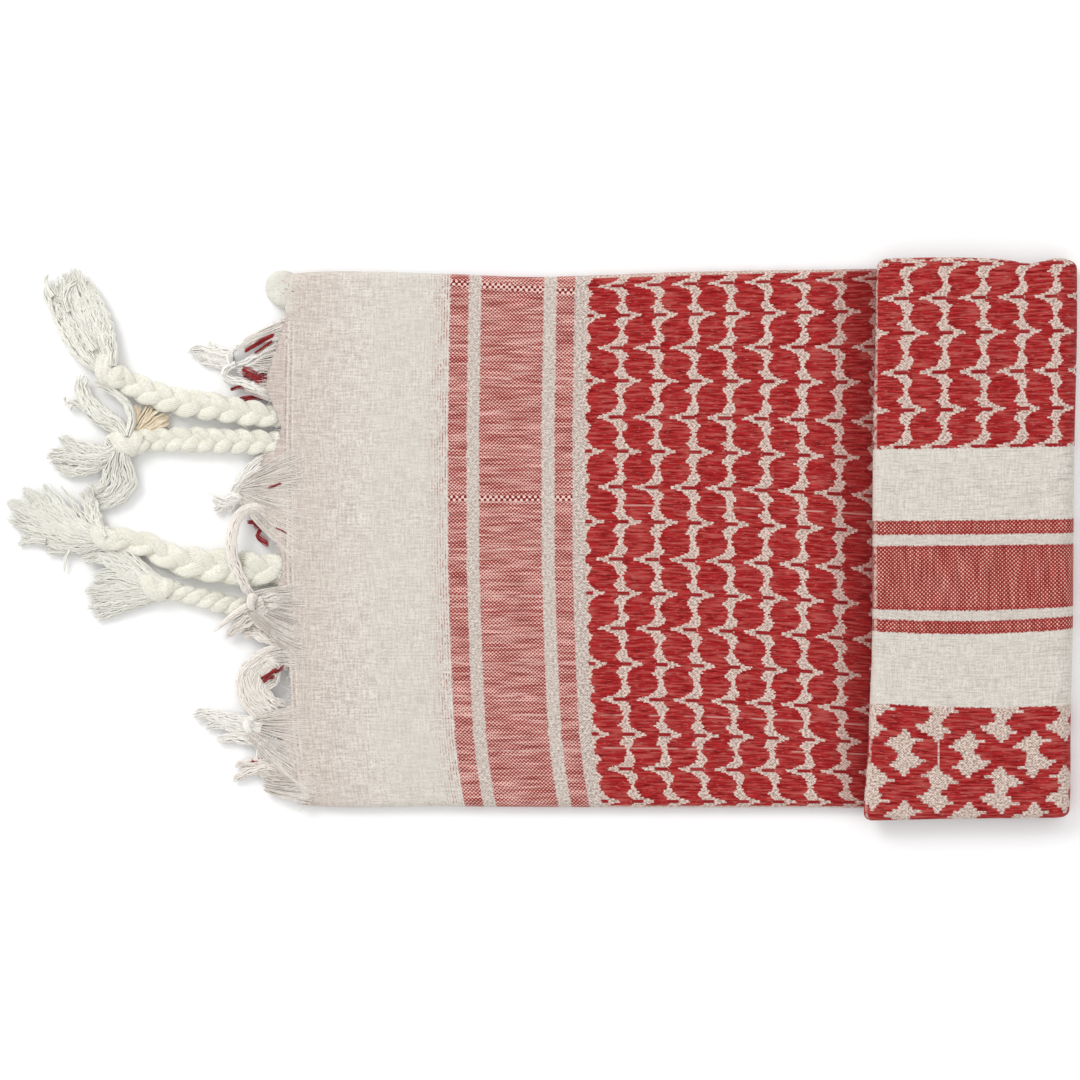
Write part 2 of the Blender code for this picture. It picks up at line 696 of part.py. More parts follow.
def locks_of(tassel, middle, side, along):
    """The tips of the lower row of locks, then of the upper row, each in order across the head."""

    def bearing(tip):
        reach = Vector((tip.x, tip.y, 0)) * MM - middle
        return math.atan2(reach.dot(side), reach.dot(along))

    tips = sorted(tassel.tips, key=bearing)
    lower = [Lock(t.x, t.y, 1.5 * MM, side * t.bow * MM) for t in tips]
    upper = []
    for t in tips:
        x = middle.x / MM + (t.x - middle.x / MM) * 0.86
        y = middle.y / MM + (t.y - middle.y / MM) * 0.86
        upper.append(Lock(x, y, middle.z + 0.6 * MM, side * t.bow * MM))
    return [lower, upper]


def add_tassel(tassel, collection, material):
    """A plait, rope or knotted bundle, with its loose end drawn out of its head as locks."""
    rings, middle, along, side, up = tassel_rings(tassel)
    bm = bmesh.new()
    rows = add_tube(bm, rings)
    bm.faces.new(rows[0][::-1])
    if not tassel.tips:
        bm.faces.new(rows[-1])
        return finish_object(tassel.name, bm, collection, material)
    n = tassel.columns
    last = rows[-1]
    bottom = last[: n + 1]
    top = last[n + 2 : 2 * n + 3][::-1]
    between = [last[2 * n + 3]]
    for i in range(1, n):
        between.append(bm.verts.new((bottom[i].co + top[i].co) / 2))
    between.append(last[n + 1])
    grid = [bottom, between, top]
    faces = [[], []]
    for row in range(2):
        for i in range(n):
            corners = (grid[row][i], grid[row][i + 1], grid[row + 1][i + 1], grid[row + 1][i])
            faces[row].append(bm.faces.new(corners))
    bmesh.ops.inset_individual(bm, faces=faces[0] + faces[1], thickness=LOCK_INSET)
    for row, locks in zip(faces, locks_of(tassel, middle, side, along)):
        for face, lock in zip(row, locks):
            add_lock(bm, face, lock, tassel.belly, side, up, along)
    return finish_object(tassel.name, bm, collection, material)


def centre_on_origin(items):
    """Moves every piece so that the origin is under the middle of the whole box."""
    points = np.array([v.co[:] for item in items for v in item.data.vertices])
    low, high = points.min(axis=0), points.max(axis=0)
    shift = Vector((-(low[0] + high[0]) / 2, -(low[1] + high[1]) / 2, -low[2]))
    for item in items:
        for vertex in item.data.vertices:
            vertex.co += shift


def build():
    clear_scene()
    collection = bpy.data.collections.new("folded_keffiyeh")
    bpy.context.scene.collection.children.link(collection)
    materials = {name: new_material(name) for name in MATERIALS}
    items = [
        folded_layers(collection, materials["folded_edges"]),
        main_stretch(collection, materials["white_cotton"]),
        turned_stretch(collection, materials["red_figured_cotton"]),
    ]
    items += [add_tassel(t, collection, materials["cream_cord"]) for t in PLAITS]
    items += [add_tassel(t, collection, materials["fringe_yarn"]) for t in FRINGE]
    centre_on_origin(items)


build()
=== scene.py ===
"""Looks of the folded keffiyeh: its cloth, woven figures, plaits and fringe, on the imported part.

Sizes are in millimetres in the frame of the photo, X along the strip and Y across it, until a mesh
is made. Places that were read off the photo are in its pixels, and PX turns them to millimetres.
"""

import math
from collections import namedtuple

import bpy
import numpy as np
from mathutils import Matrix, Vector


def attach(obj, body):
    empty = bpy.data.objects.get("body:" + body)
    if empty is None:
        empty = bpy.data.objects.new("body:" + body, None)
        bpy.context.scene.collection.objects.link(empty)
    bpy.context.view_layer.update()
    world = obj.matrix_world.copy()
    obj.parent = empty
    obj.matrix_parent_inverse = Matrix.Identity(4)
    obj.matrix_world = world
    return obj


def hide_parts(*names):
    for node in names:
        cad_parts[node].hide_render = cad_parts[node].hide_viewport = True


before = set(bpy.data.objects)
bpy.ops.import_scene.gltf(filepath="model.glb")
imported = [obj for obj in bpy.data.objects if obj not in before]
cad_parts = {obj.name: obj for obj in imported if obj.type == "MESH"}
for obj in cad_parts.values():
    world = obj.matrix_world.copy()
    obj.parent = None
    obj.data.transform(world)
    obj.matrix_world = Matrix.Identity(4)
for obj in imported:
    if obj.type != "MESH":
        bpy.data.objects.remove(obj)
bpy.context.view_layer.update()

MM = 0.001
PX = 0.513  # one pixel of the photo
PHOTO_SIDE = 1080  # pixels
MIDDLE_PX = (541, 540)  # the pixel at the photo frame's origin
SHIFT = np.array([0.1268, -0.5547, 0.0])  # from there to the part's frame
UP = np.array([0.0, 0.0, 1.0])

# The folded cloth, as in the part
STRIP_WIDTH = 275.0
HEM_X, BEND_X, FOLD_X, COVERED_X, TURN_FROM_X = -129.8, 264.6, 175.0, 255.0, 150.0
HIDDEN = 6.0  # height of the layers below the one that shows
LOW_Z, BEND_Z, BEND_RADIUS = 3.0, 6.9, 3.9  # the middle of those layers, on the floor and round the bend
OUTER = 4.5  # from there to the cloth's face
ROLL, ROLL_END = 4.0, math.radians(80)  # how the cloth rolls down over a long edge
HEM_SLANT_REACH = 60.0


def table(columns, rows):
    """A short table: the names of its columns, and a row of values for each thing in it."""
    row = namedtuple("Row", columns)
    return [row(*values) for values in rows]


# How far the long edges stand out from half the strip's width
STRIP_EDGES = table("x far_out near_out", [
    (-129.8, -0.9, -1.3), (-121.0, -0.1, -0.7), (-49.0, -0.7, -0.6), (0.0, -2.3, -0.3),
    (20.0, -1.7, -0.2), (76.0, 0.3, -0.1), (172.0, 1.9, 0.3), (264.6, 4.1, 4.1),
])
TURNED_EDGES = table("x far_out near_out", [
    (165.0, 6.1, 6.4), (182.0, 6.9, 6.1), (215.0, 7.2, 5.3), (236.0, 6.1, 5.1),
    (249.0, 4.3, 5.0), (262.0, 6.9, 4.9), (276.0, 5.7, 4.7),
])
# How far the hem, the fold and the bend lie off their straight lines at each place across
SLANTS = table("y hem fold bend", [
    (-144.0, 9.2, -5.0, -1.6), (-133.0, 8.7, -4.6, -1.5), (-100.0, 4.9, -2.0, -1.2),
    (-62.0, 1.5, -0.4, -0.6), (0.0, 0.4, 0.0, 0.2), (66.0, 0.0, 0.2, 1.2), (144.0, 0.0, 2.2, 2.4),
])
# How far the cloth is drawn out past its hem, in pixels, at each height of the photo: a gather
# above each bundle of fringe, and a corner that is folded over
DRAWN_OUT = [
    (262, 1), (320, 1), (335, 7), (350, 11), (371, 19), (388, 21), (400, 16), (411, 12), (424, 6),
    (440, 7), (452, 20), (462, 26), (475, 28), (490, 27), (507, 25), (520, 21), (538, 15), (549, 9),
    (560, 5), (575, 6), (588, 13), (600, 20), (622, 21), (640, 15), (652, 4), (660, 1), (701, 1),
    (706, 6), (719, 25), (731, 18), (757, 10), (784, 4), (800, 1), (812, 1),
]
SWELLS = table("length width height phase", [
    (190.0, 120.0, 0.30, 0.4), (84.0, 210.0, 0.22, 1.9), (61.0, 74.0, 0.12, 3.1),
])
# Soft creases, listed one by one: a crease runs from one point to another and is a trough, or a
# ridge where its depth is above nought
STRIP_CREASES = table("x0 y0 x1 y1 width depth", [
    (-122, 96, -48, 118, 5.0, 0.35), (-118, 60, -60, 52, 6.0, -0.30), (-126, 20, -70, 34, 4.5, 0.35),
    (-124, -18, -50, -6, 6.0, -0.35), (-120, -62, -66, -46, 5.0, 0.40), (-112, -96, -40, -88, 6.0, -0.30),
    (-108, -122, -64, -108, 4.0, 0.30), (-52, 134, -30, 40, 7.0, -0.25), (-34, 30, -28, -60, 6.0, 0.22),
    (-8, 132, 2, 70, 5.0, 0.22), (6, -30, -2, -128, 6.0, -0.25), (24, 128, 18, 40, 5.0, -0.22),
    (60, 120, 96, 96, 6.0, 0.25), (84, 40, 132, 22, 7.0, -0.25), (70, -40, 128, -58, 6.0, 0.25),
    (98, -92, 146, -84, 5.0, -0.25), (152, 110, 158, 20, 4.0, 0.30), (150, -20, 156, -110, 5.0, 0.30),
])
TURNED_CREASES = table("x0 y0 x1 y1 width depth", [
    (186, 128, 258, 122, 5.0, -0.30), (180, 92, 232, 84, 5.0, 0.25), (196, 52, 264, 44, 4.0, -0.30),
    (184, 30, 250, 26, 3.0, 0.22), (190, -42, 262, -50, 4.0, 0.28), (182, -70, 240, -76, 5.0, -0.28),
    (200, -104, 262, -112, 6.0, 0.25), (180, -128, 226, -132, 4.0, -0.25),
])


def normalised(v):
    return v / np.maximum(np.linalg.norm(v, axis=-1, keepdims=True), 1e-9)


def hermite(at, values, x):
    """A smooth curve through a column of values."""
    at, values = np.array(at, float), np.array(values, float)
    slopes = np.gradient(values, at)
    x = np.clip(x, at[0], at[-1])
    i = np.clip(np.searchsorted(at, x) - 1, 0, len(at) - 2)
    step = at[i + 1] - at[i]
    t = (x - at[i]) / step
    start = (2 * t**3 - 3 * t**2 + 1) * values[i] + (t**3 - 2 * t**2 + t) * step * slopes[i]
    return start + (3 * t**2 - 2 * t**3) * values[i + 1] + (t**3 - t**2) * step * slopes[i + 1]


def smooth(at, rows, s):
    """The smooth curve through rows of coordinates."""
    return np.stack([hermite(at, rows[:, k], s) for k in range(rows.shape[1])], axis=-1)


def lengths_along(rows):
    """How far along a line of points each of them lies."""
    return np.concatenate([[0], np.cumsum(np.linalg.norm(np.diff(rows, axis=0), axis=1))])


def axes_of(line):
    """The directions to the level side of a line and up from it."""
    ahead = normalised(np.gradient(line, axis=0))
    side = normalised(np.cross(ahead, UP))
    return side, np.cross(side, ahead)


def left_of(line):
    """The direction to the left of lines that lie flat."""
    ahead = normalised(np.gradient(line, axis=-2))
    return np.stack([-ahead[..., 1], ahead[..., 0]], axis=-1)


def column_of(rows, name):
    return [getattr(row, name) for row in rows]


def edges_at(edges, x):
    """Y of the far and the near long edge."""
    at = column_of(edges, "x")
    far, near = (hermite(at, column_of(edges, side), x) for side in ("far_out", "near_out"))
    return STRIP_WIDTH / 2 + far, -STRIP_WIDTH / 2 - near


def slant_at(y, line):
    return np.interp(y, column_of(SLANTS, "y"), column_of(SLANTS, line))


def hem_at(y):
    return HEM_X + slant_at(y, "hem")


def drawn_out(y):
    return np.interp(MIDDLE_PX[1] - y / PX, *zip(*DRAWN_OUT)) * PX


def swell(x, y):
    waves = [(s, 2 * math.pi * (x / s.length + y / s.width) + s.phase) for s in SWELLS]
    return sum(s.height * (1 + np.sin(turn)) / 2 for s, turn in waves)


def crease(creases, x, y):
    """Height of the listed creases, which fade out at their ends."""
    total = np.zeros_like(x)
    for c in creases:
        along = np.array([c.x1 - c.x0, c.y1 - c.y0])
        length = np.hypot(*along)
        along = along / length
        dx, dy = x - c.x0, y - c.y0
        t = (dx * along[0] + dy * along[1]) / length
        wander = 0.25 * c.width * np.sin(t * 7 + c.x0)
        off = (-dx * along[1] + dy * along[0] + wander) / c.width
        ends = np.clip((t + 0.15) / 0.3, 0, 1) * np.clip((1.15 - t) / 0.3, 0, 1)
        total += c.depth * np.exp(-(off**2)) * ends * ends * (3 - 2 * ends)
    return total


RIPPLES, RIPPLE_HEIGHT = 14, 0.0055  # how many lie over each other, and height as a share of length


def ripples(x, y, seed):
    """Small uneven waviness of loose cotton."""
    rng = np.random.default_rng(seed)
    total = np.zeros_like(x)
    for _ in range(RIPPLES):
        turn = rng.uniform(0, math.pi)
        length = rng.uniform(9, 34)
        phase = rng.uniform(0, 2 * math.pi)
        bend = 3 * np.sin(x / rng.uniform(24, 50) + y / rng.uniform(24, 50) + phase)
        run = x * math.cos(turn) + y * math.sin(turn) + bend
        total += length * np.sin(2 * math.pi * run / length + phase)
    return total / RIPPLES * RIPPLE_HEIGHT


# ---------------------------------------------------------------- cloth as grids of points

ROLL_POINTS, FLAT_STEPS = 8, 122  # across, round each roll and on the flat between them
STRIP_POINTS, PAST_HEM_POINTS = 176, 8  # along the strip
BEND_POINTS, RETURN_POINTS, NOSE_POINTS = 19, 52, 12  # along the turned-over end
CREASES_END_X = 178  # under the turned-over end
TURNED_CREASES_END_X = 172  # on it


def across_points(far, near):
    """Across a stretch, from its far to its near long edge: y, height over the middle of the
    layers, what the arc adds to y round a roll, and how flat the cloth lies."""
    rolled = np.linspace(ROLL_END, 0, ROLL_POINTS)
    flat = np.linspace(0, 1, FLAT_STEPS + 1)[1:-1]
    angle = np.concatenate([rolled, 0 * flat, -rolled[::-1]])
    share = np.concatenate([0 * rolled, flat, 0 * rolled + 1])
    far, near = far[:, None], near[:, None]
    y = (far - ROLL) * (1 - share) + (near + ROLL) * share + ROLL * np.sin(angle)
    n = OUTER - ROLL + ROLL * np.cos(angle) * np.ones_like(far)
    beyond = ROLL * (angle - np.sin(angle)) * np.ones_like(far)
    flatness = np.clip((np.minimum(far - y, y - near) - ROLL) / (3 * ROLL), 0, 1)
    return y, n, beyond, flatness


def photo_pixels(x, y):
    return MIDDLE_PX[0] + x / PX, MIDDLE_PX[1] - y / PX


def photo_points(points, z=0.0):
    """Points in mm, at places of the photo."""
    px, py = np.array(points, float).T
    x, y = (px - MIDDLE_PX[0]) * PX, (MIDDLE_PX[1] - py) * PX
    return np.stack([x, y, z + 0 * x], axis=-1)


def strip_grid():
    """From the cloth's frayed edge, past the hem, to where the turned-over end covers it."""
    flat = np.linspace(HEM_X, COVERED_X, STRIP_POINTS)
    past = np.linspace(1, 0, PAST_HEM_POINTS)[:-1]
    x = np.concatenate([np.full(len(past), HEM_X), flat])
    past = np.concatenate([past, np.zeros(len(flat))])[:, None]
    y, n, beyond, flatness = across_points(*edges_at(STRIP_EDGES, x))
    x = x[:, None] * np.ones_like(y)
    rise = swell(x, y) * np.clip((TURN_FROM_X - x) / 40, 0, 1) * flatness
    fine = crease(STRIP_CREASES, x, y) + ripples(x, y, 3)
    rise += fine * flatness * np.clip((CREASES_END_X - x) / 12, 0, 1)
    hem = np.maximum(0, 1 - (x - HEM_X) / HEM_SLANT_REACH)
    bend = np.maximum(0, (x - TURN_FROM_X) / (BEND_X - TURN_FROM_X))
    rng = np.random.default_rng(17)
    drawn = past * (drawn_out(y) + rng.uniform(0, 0.8, (1, y.shape[1])))
    rise -= 0.01 * drawn * past**1.5 * drawn.clip(0, 8)
    rise += 0.05 * drawn * np.sin(y * 2.1 + 2 * np.sin(y * 0.37))
    x = x - drawn + hem * slant_at(y, "hem") + bend * slant_at(y, "bend")
    return np.stack([x, y, LOW_Z + n + rise], axis=-1), *photo_pixels(x, y + beyond)


def turned_grid():
    """Up round the bend from near the floor, back along the top, and under the fold."""
    bend = np.radians(np.linspace(40, 180, BEND_POINTS))
    flat = np.linspace(BEND_X, FOLD_X, RETURN_POINTS)[1:]
    nose = np.radians(np.linspace(0, 118, NOSE_POINTS))[1:]
    x = np.concatenate([BEND_X + BEND_RADIUS * np.sin(bend), flat, np.full(len(nose), FOLD_X)])
    angle = np.concatenate([bend, np.full(len(flat) + len(nose), math.pi)])
    swung = np.concatenate([np.zeros(len(bend) + len(flat)), nose])
    low = edges_at(STRIP_EDGES, BEND_X)
    ends = [a + (b - a) * angle / math.pi for a, b in zip(low, edges_at(TURNED_EDGES, x))]
    y, n, beyond, flatness = across_points(*ends)
    x, angle, swung = (v[:, None] * np.ones_like(y) for v in (x, angle, swung))
    fine = (crease(TURNED_CREASES, x, y) + ripples(x, y, 8)) * (swung == 0)
    out = n + swell(x, y) * flatness + fine * flatness * np.clip((x - TURNED_CREASES_END_X) / 8, 0, 1)
    on_top = angle > math.pi - 1e-6
    fold = np.where(on_top, np.minimum(1, (BEND_X - x) / (BEND_X - FOLD_X)), 0)
    slant = (1 - fold) * slant_at(y, "bend") + fold * slant_at(y, "fold")
    x_out, z_out = np.sin(angle) - np.sin(swung), -np.cos(angle) * np.cos(swung)
    z = BEND_Z - BEND_RADIUS * np.cos(angle) + out * z_out
    path = np.where(on_top, x - swung * OUTER, BEND_X + (math.pi - angle) * (BEND_RADIUS + OUTER))
    points = np.stack([x + out * x_out + slant, y, z], axis=-1)
    return points, *photo_pixels(path + slant, y + beyond)


# ---------------------------------------------------------------- where the threads run

# How far the strip's cross stripes lean, in pixels, at each height of the photo
LEAN = [
    (258, 2.6), (277, 2.2), (350, 0.7), (430, -0.4), (560, -0.2), (622, 1.4), (683, 3.6), (734, 6.2),
    (775, 11.2), (808, 17.0),
]
# The wave figure's rows: the middle lines of its gaps at the left of the figure. A gap whose
# number is even has its wedges pointing left, an odd one right.
STRIP_ROWS = [
    286.7, 315.7, 348, 380.6, 417, 451, 486.7, 521.4, 559, 593, 628, 663.7, 699, 734, 768.8, 801.4,
]
# How far a row has risen or dropped by the turned-over end
ROW_DROP = [
    (286, -8), (316, -4), (350, -1), (420, 5), (487, 9), (664, 13), (734, 10), (769, 4), (801, 1),
]
FIGURE_FROM, FIGURE_TO, FIGURE_PITCH = 585.2, 870.0, 36.4

TURNED_ROWS = [229, 266, 299.4, 333.9, 373.5, 410.9, 448]
TURNED_COLUMNS = [829.4, 867.6, 906, 944, 983.5, 1021.6, 1055, 1091]
# How far a pick of the turned-over end has dropped at its middle and its right, by its height
TILT = [
    (450, -1.2, -3.0), (530, -0.6, -2.0), (577, -1.0, -2.6), (625, 2.5, -3.0), (704, 4.5, 1.6),
    (770, 3.0, 2.0),
]
TURNED_LEFT, TURNED_RIGHT = 874.0, 1074.0
STARS_FROM, STARS_PITCH, STARS_TOP, STARS_ROW = 935.7, 64.5, 714.5, 35.9
STARS_BELOW = 575  # any height between the waves and the stars


def place_in(rows, value):
    """The number of the row that a value is at, carried on past the first and the last."""
    rows = np.array(rows, float)
    steps = np.diff(rows)
    low = (value - rows[0]) / steps[0]
    high = len(rows) - 1 + (value - rows[-1]) / steps[-1]
    number = np.interp(value, rows, np.arange(len(rows)))
    return np.where(value < rows[0], low, np.where(value > rows[-1], high, number))


def strip_threads(px, py):
    """Pixels along and across the strip's threads, and the column and row of its figure."""
    a = px - np.interp(py, *zip(*LEAN)) * np.interp(px, [600, 880], [1, 0.45])
    drop = np.interp(py, *zip(*ROW_DROP))
    reach = np.clip((px - FIGURE_FROM) / (FIGURE_TO - FIGURE_FROM), 0, 1.1)
    v = py - np.where(drop < 0, drop * reach, drop * reach**2)
    return (a, v), ((a - FIGURE_FROM) / FIGURE_PITCH, place_in(STRIP_ROWS, v))


def turned_threads(px, py):
    """The same for the turned-over end, which has the waves above and the stars below."""
    t = (px - TURNED_LEFT) / (TURNED_RIGHT - TURNED_LEFT)
    heights, middle, right = zip(*TILT)
    tilt = np.interp(py, heights, middle) * 4 * t * (1 - t)
    v = py - (tilt + np.interp(py, heights, right) * t * (2 * t - 1))
    wave = place_in(TURNED_COLUMNS, px), place_in(TURNED_ROWS, v)
    stars = (px - STARS_FROM) / STARS_PITCH, (v - STARS_TOP) / STARS_ROW
    return (px, v), tuple(np.where(v > STARS_BELOW, *pair) for pair in zip(stars, wave))


# ---------------------------------------------------------------- meshes

SHELL = 0.45  # how thick the cloth's shell is
# The cloth's face, its back and its rim each get a part of the map that textures are baked to
BAKE_FACE, BAKE_BACK_FROM, BAKE_BACK, BAKE_RIM = 0.9, 0.92, 0.07, (0.905, 0.915)
FLOOR_GAP = 0.12
ALMOST_UP = np.array([0.03, 0.05, 1.0])  # never straight along a strand
CELL_MARGIN = np.array([0.03, 0.06])


def fill_mesh(name, points, faces, maps, material):
    """A mesh from points in mm, faces of four corners, and maps of a place for each corner."""
    mesh = bpy.data.meshes.new(name)
    mesh.vertices.add(len(points))
    mesh.vertices.foreach_set("co", ((points + SHIFT) * MM).astype(np.float32).ravel())
    mesh.loops.add(faces.size)
    mesh.polygons.add(len(faces))
    mesh.loops.foreach_set("vertex_index", faces.ravel().astype(np.int32))
    mesh.polygons.foreach_set("loop_start", np.arange(len(faces), dtype=np.int32) * 4)
    mesh.update(calc_edges=True)
    for map_name, places in maps.items():
        layer = mesh.uv_layers.new(name=map_name)
        layer.data.foreach_set("uv", places.astype(np.float32).ravel())
    mesh.validate()
    mesh.shade_smooth()
    mesh.materials.append(material)
    item = bpy.data.objects.new(name, mesh)
    bpy.context.scene.collection.objects.link(item)
    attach(item, "root")
    return item


def cloth_maps(bake, threads, motif, corners):
    """The maps of a cloth: for baking, along its threads, and in its figure."""
    maps = {"OFBake": bake}
    for name, pair in (("Threads", threads), ("Motif", motif)):
        maps[name] = np.stack([p.ravel() for p in pair], axis=-1)[corners]
    return maps


def ring_faces(index):
    """Faces between rings of points, each ring a row that closes on itself."""
    a, b = index[..., :-1, :], index[..., 1:, :]
    return np.stack([a, np.roll(a, -1, -1), np.roll(b, -1, -1), b], axis=-1).reshape(-1, 4)


def ring_map(rings, around):
    """Where the corners of those faces lie, as shares along the rings and round them."""
    s = (np.arange(rings - 1)[:, None, None] + np.array([0, 0, 1, 1])) / (rings - 1)
    t = (np.arange(around)[None, :, None] + np.array([0, 1, 1, 0])) / around
    return np.stack(np.broadcast_arrays(s, t), axis=-1)


def cloth_shell(name, grid, threads, motif, material):
    """A thin closed shell under a grid of points."""
    rows, columns = grid.shape[:2]
    normal = normalised(np.cross(np.gradient(grid, axis=0), np.gradient(grid, axis=1)))
    upward = normal[rows // 2, columns // 2, 2] > 0
    inner = grid - (normal if upward else -normal) * SHELL
    count = rows * columns
    index = np.arange(count).reshape(rows, columns)
    rim = np.concatenate([index[0, :-1], index[:-1, -1], index[-1, :0:-1], index[:0:-1, 0]])
    ahead = np.roll(rim, -1)
    corners = [index[:-1, :-1], index[1:, :-1], index[1:, 1:], index[:-1, 1:]]
    face = np.stack(corners, axis=-1).reshape(-1, 4)
    back = face[:, ::-1] + count
    side = np.stack([rim, ahead, ahead + count, rim + count], axis=-1)
    if upward:
        side = side[:, ::-1]
    else:
        face, back = face[:, ::-1], back[:, ::-1]
    faces = np.concatenate([face, back, side])
    u, v = np.meshgrid(np.linspace(0, 1, rows), np.linspace(0, 1, columns), indexing="ij")
    place = np.stack([u, v], axis=-1).reshape(-1, 2)
    along_rim = (np.arange(len(side))[:, None] + np.array([0, 1, 1, 0])) / len(side)
    bake = np.concatenate([
        place[face] * [BAKE_FACE, 1.0],
        place[back - count] * [BAKE_BACK, 1.0] + [BAKE_BACK_FROM, 0],
        np.stack(np.broadcast_arrays(np.repeat(BAKE_RIM, 2), along_rim), axis=-1),
    ])
    points = np.concatenate([grid.reshape(-1, 3), inner.reshape(-1, 3)])
    return fill_mesh(name, points, faces, cloth_maps(bake, threads, motif, faces % count), material)


class Strands:
    """Many thin strands, gathered into one mesh."""

    def __init__(self, sides):
        self.sides, self.count = sides, 0
        self.points, self.faces, self.groups = [], [], []

    def add(self, paths, radii):
        """paths is strands x points x 3, in mm, and radii fits it or is one size."""
        paths = np.asarray(paths, float)
        radii = np.broadcast_to(radii, paths.shape[:2])
        ahead = normalised(np.gradient(paths, axis=1))
        side = normalised(np.cross(ahead, ALMOST_UP))
        up = np.cross(side, ahead)
        turn = 2 * math.pi * np.arange(self.sides) / self.sides
        ring = side[:, :, None] * np.cos(turn)[:, None] + up[:, :, None] * np.sin(turn)[:, None]
        points = paths[:, :, None] + radii[:, :, None, None] * ring
        points[..., 2] = np.maximum(points[..., 2], FLOOR_GAP)
        index = np.arange(points.size // 3).reshape(points.shape[:3]) + self.count
        self.points.append(points.reshape(-1, 3))
        self.faces.append(ring_faces(index))
        self.groups.append(points.shape[:2])
        self.count += index.size

    def bake_map(self):
        """Every strand has its own cell, with its length along it."""
        total = sum(strands for strands, _ in self.groups)
        columns = math.ceil(math.sqrt(total / 6))
        rows = math.ceil(total / columns)
        out, number = [], 0
        for strands, length in self.groups:
            cell = np.arange(number, number + strands)
            corner = np.stack([cell // rows / columns, cell % rows / rows], axis=-1)
            inside = CELL_MARGIN + (1 - 2 * CELL_MARGIN) * ring_map(length, self.sides)
            out.append((corner[:, None, None, None] + inside / [columns, rows]).reshape(-1, 2))
            number += strands
        return np.concatenate(out)

    def finish(self, name, material):
        points, faces = np.concatenate(self.points), np.concatenate(self.faces)
        return fill_mesh(name, points, faces, {"OFBake": self.bake_map()}, material)


# ---------------------------------------------------------------- shaders

LIGHT = 1.12  # how bright the studio makes a white surface that lies flat


def rgb(r, g, b):
    """A colour as the photo shows it, out of 255, as Blender's linear colour under that light."""
    parts = [c / 255 for c in (r, g, b)]
    linear = [p / 12.92 if p <= 0.04045 else ((p + 0.055) / 1.055) ** 2.4 for p in parts]
    return tuple(p / LIGHT for p in linear) + (1.0,)


class Value:
    """What a shader node gives. Arithmetic on it adds nodes."""

    def __init__(self, weaver, socket):
        self.weaver, self.socket = weaver, socket

    def __add__(self, other):
        return self.weaver.math("ADD", self, other)

    def __sub__(self, other):
        return self.weaver.math("SUBTRACT", self, other)

    def __rsub__(self, other):
        return self.weaver.math("SUBTRACT", other, self)

    def __mul__(self, other):
        return self.weaver.math("MULTIPLY", self, other)

    def __truediv__(self, other):
        return self.weaver.math("DIVIDE", self, other)

    def __abs__(self):
        return self.weaver.math("ABSOLUTE", self)


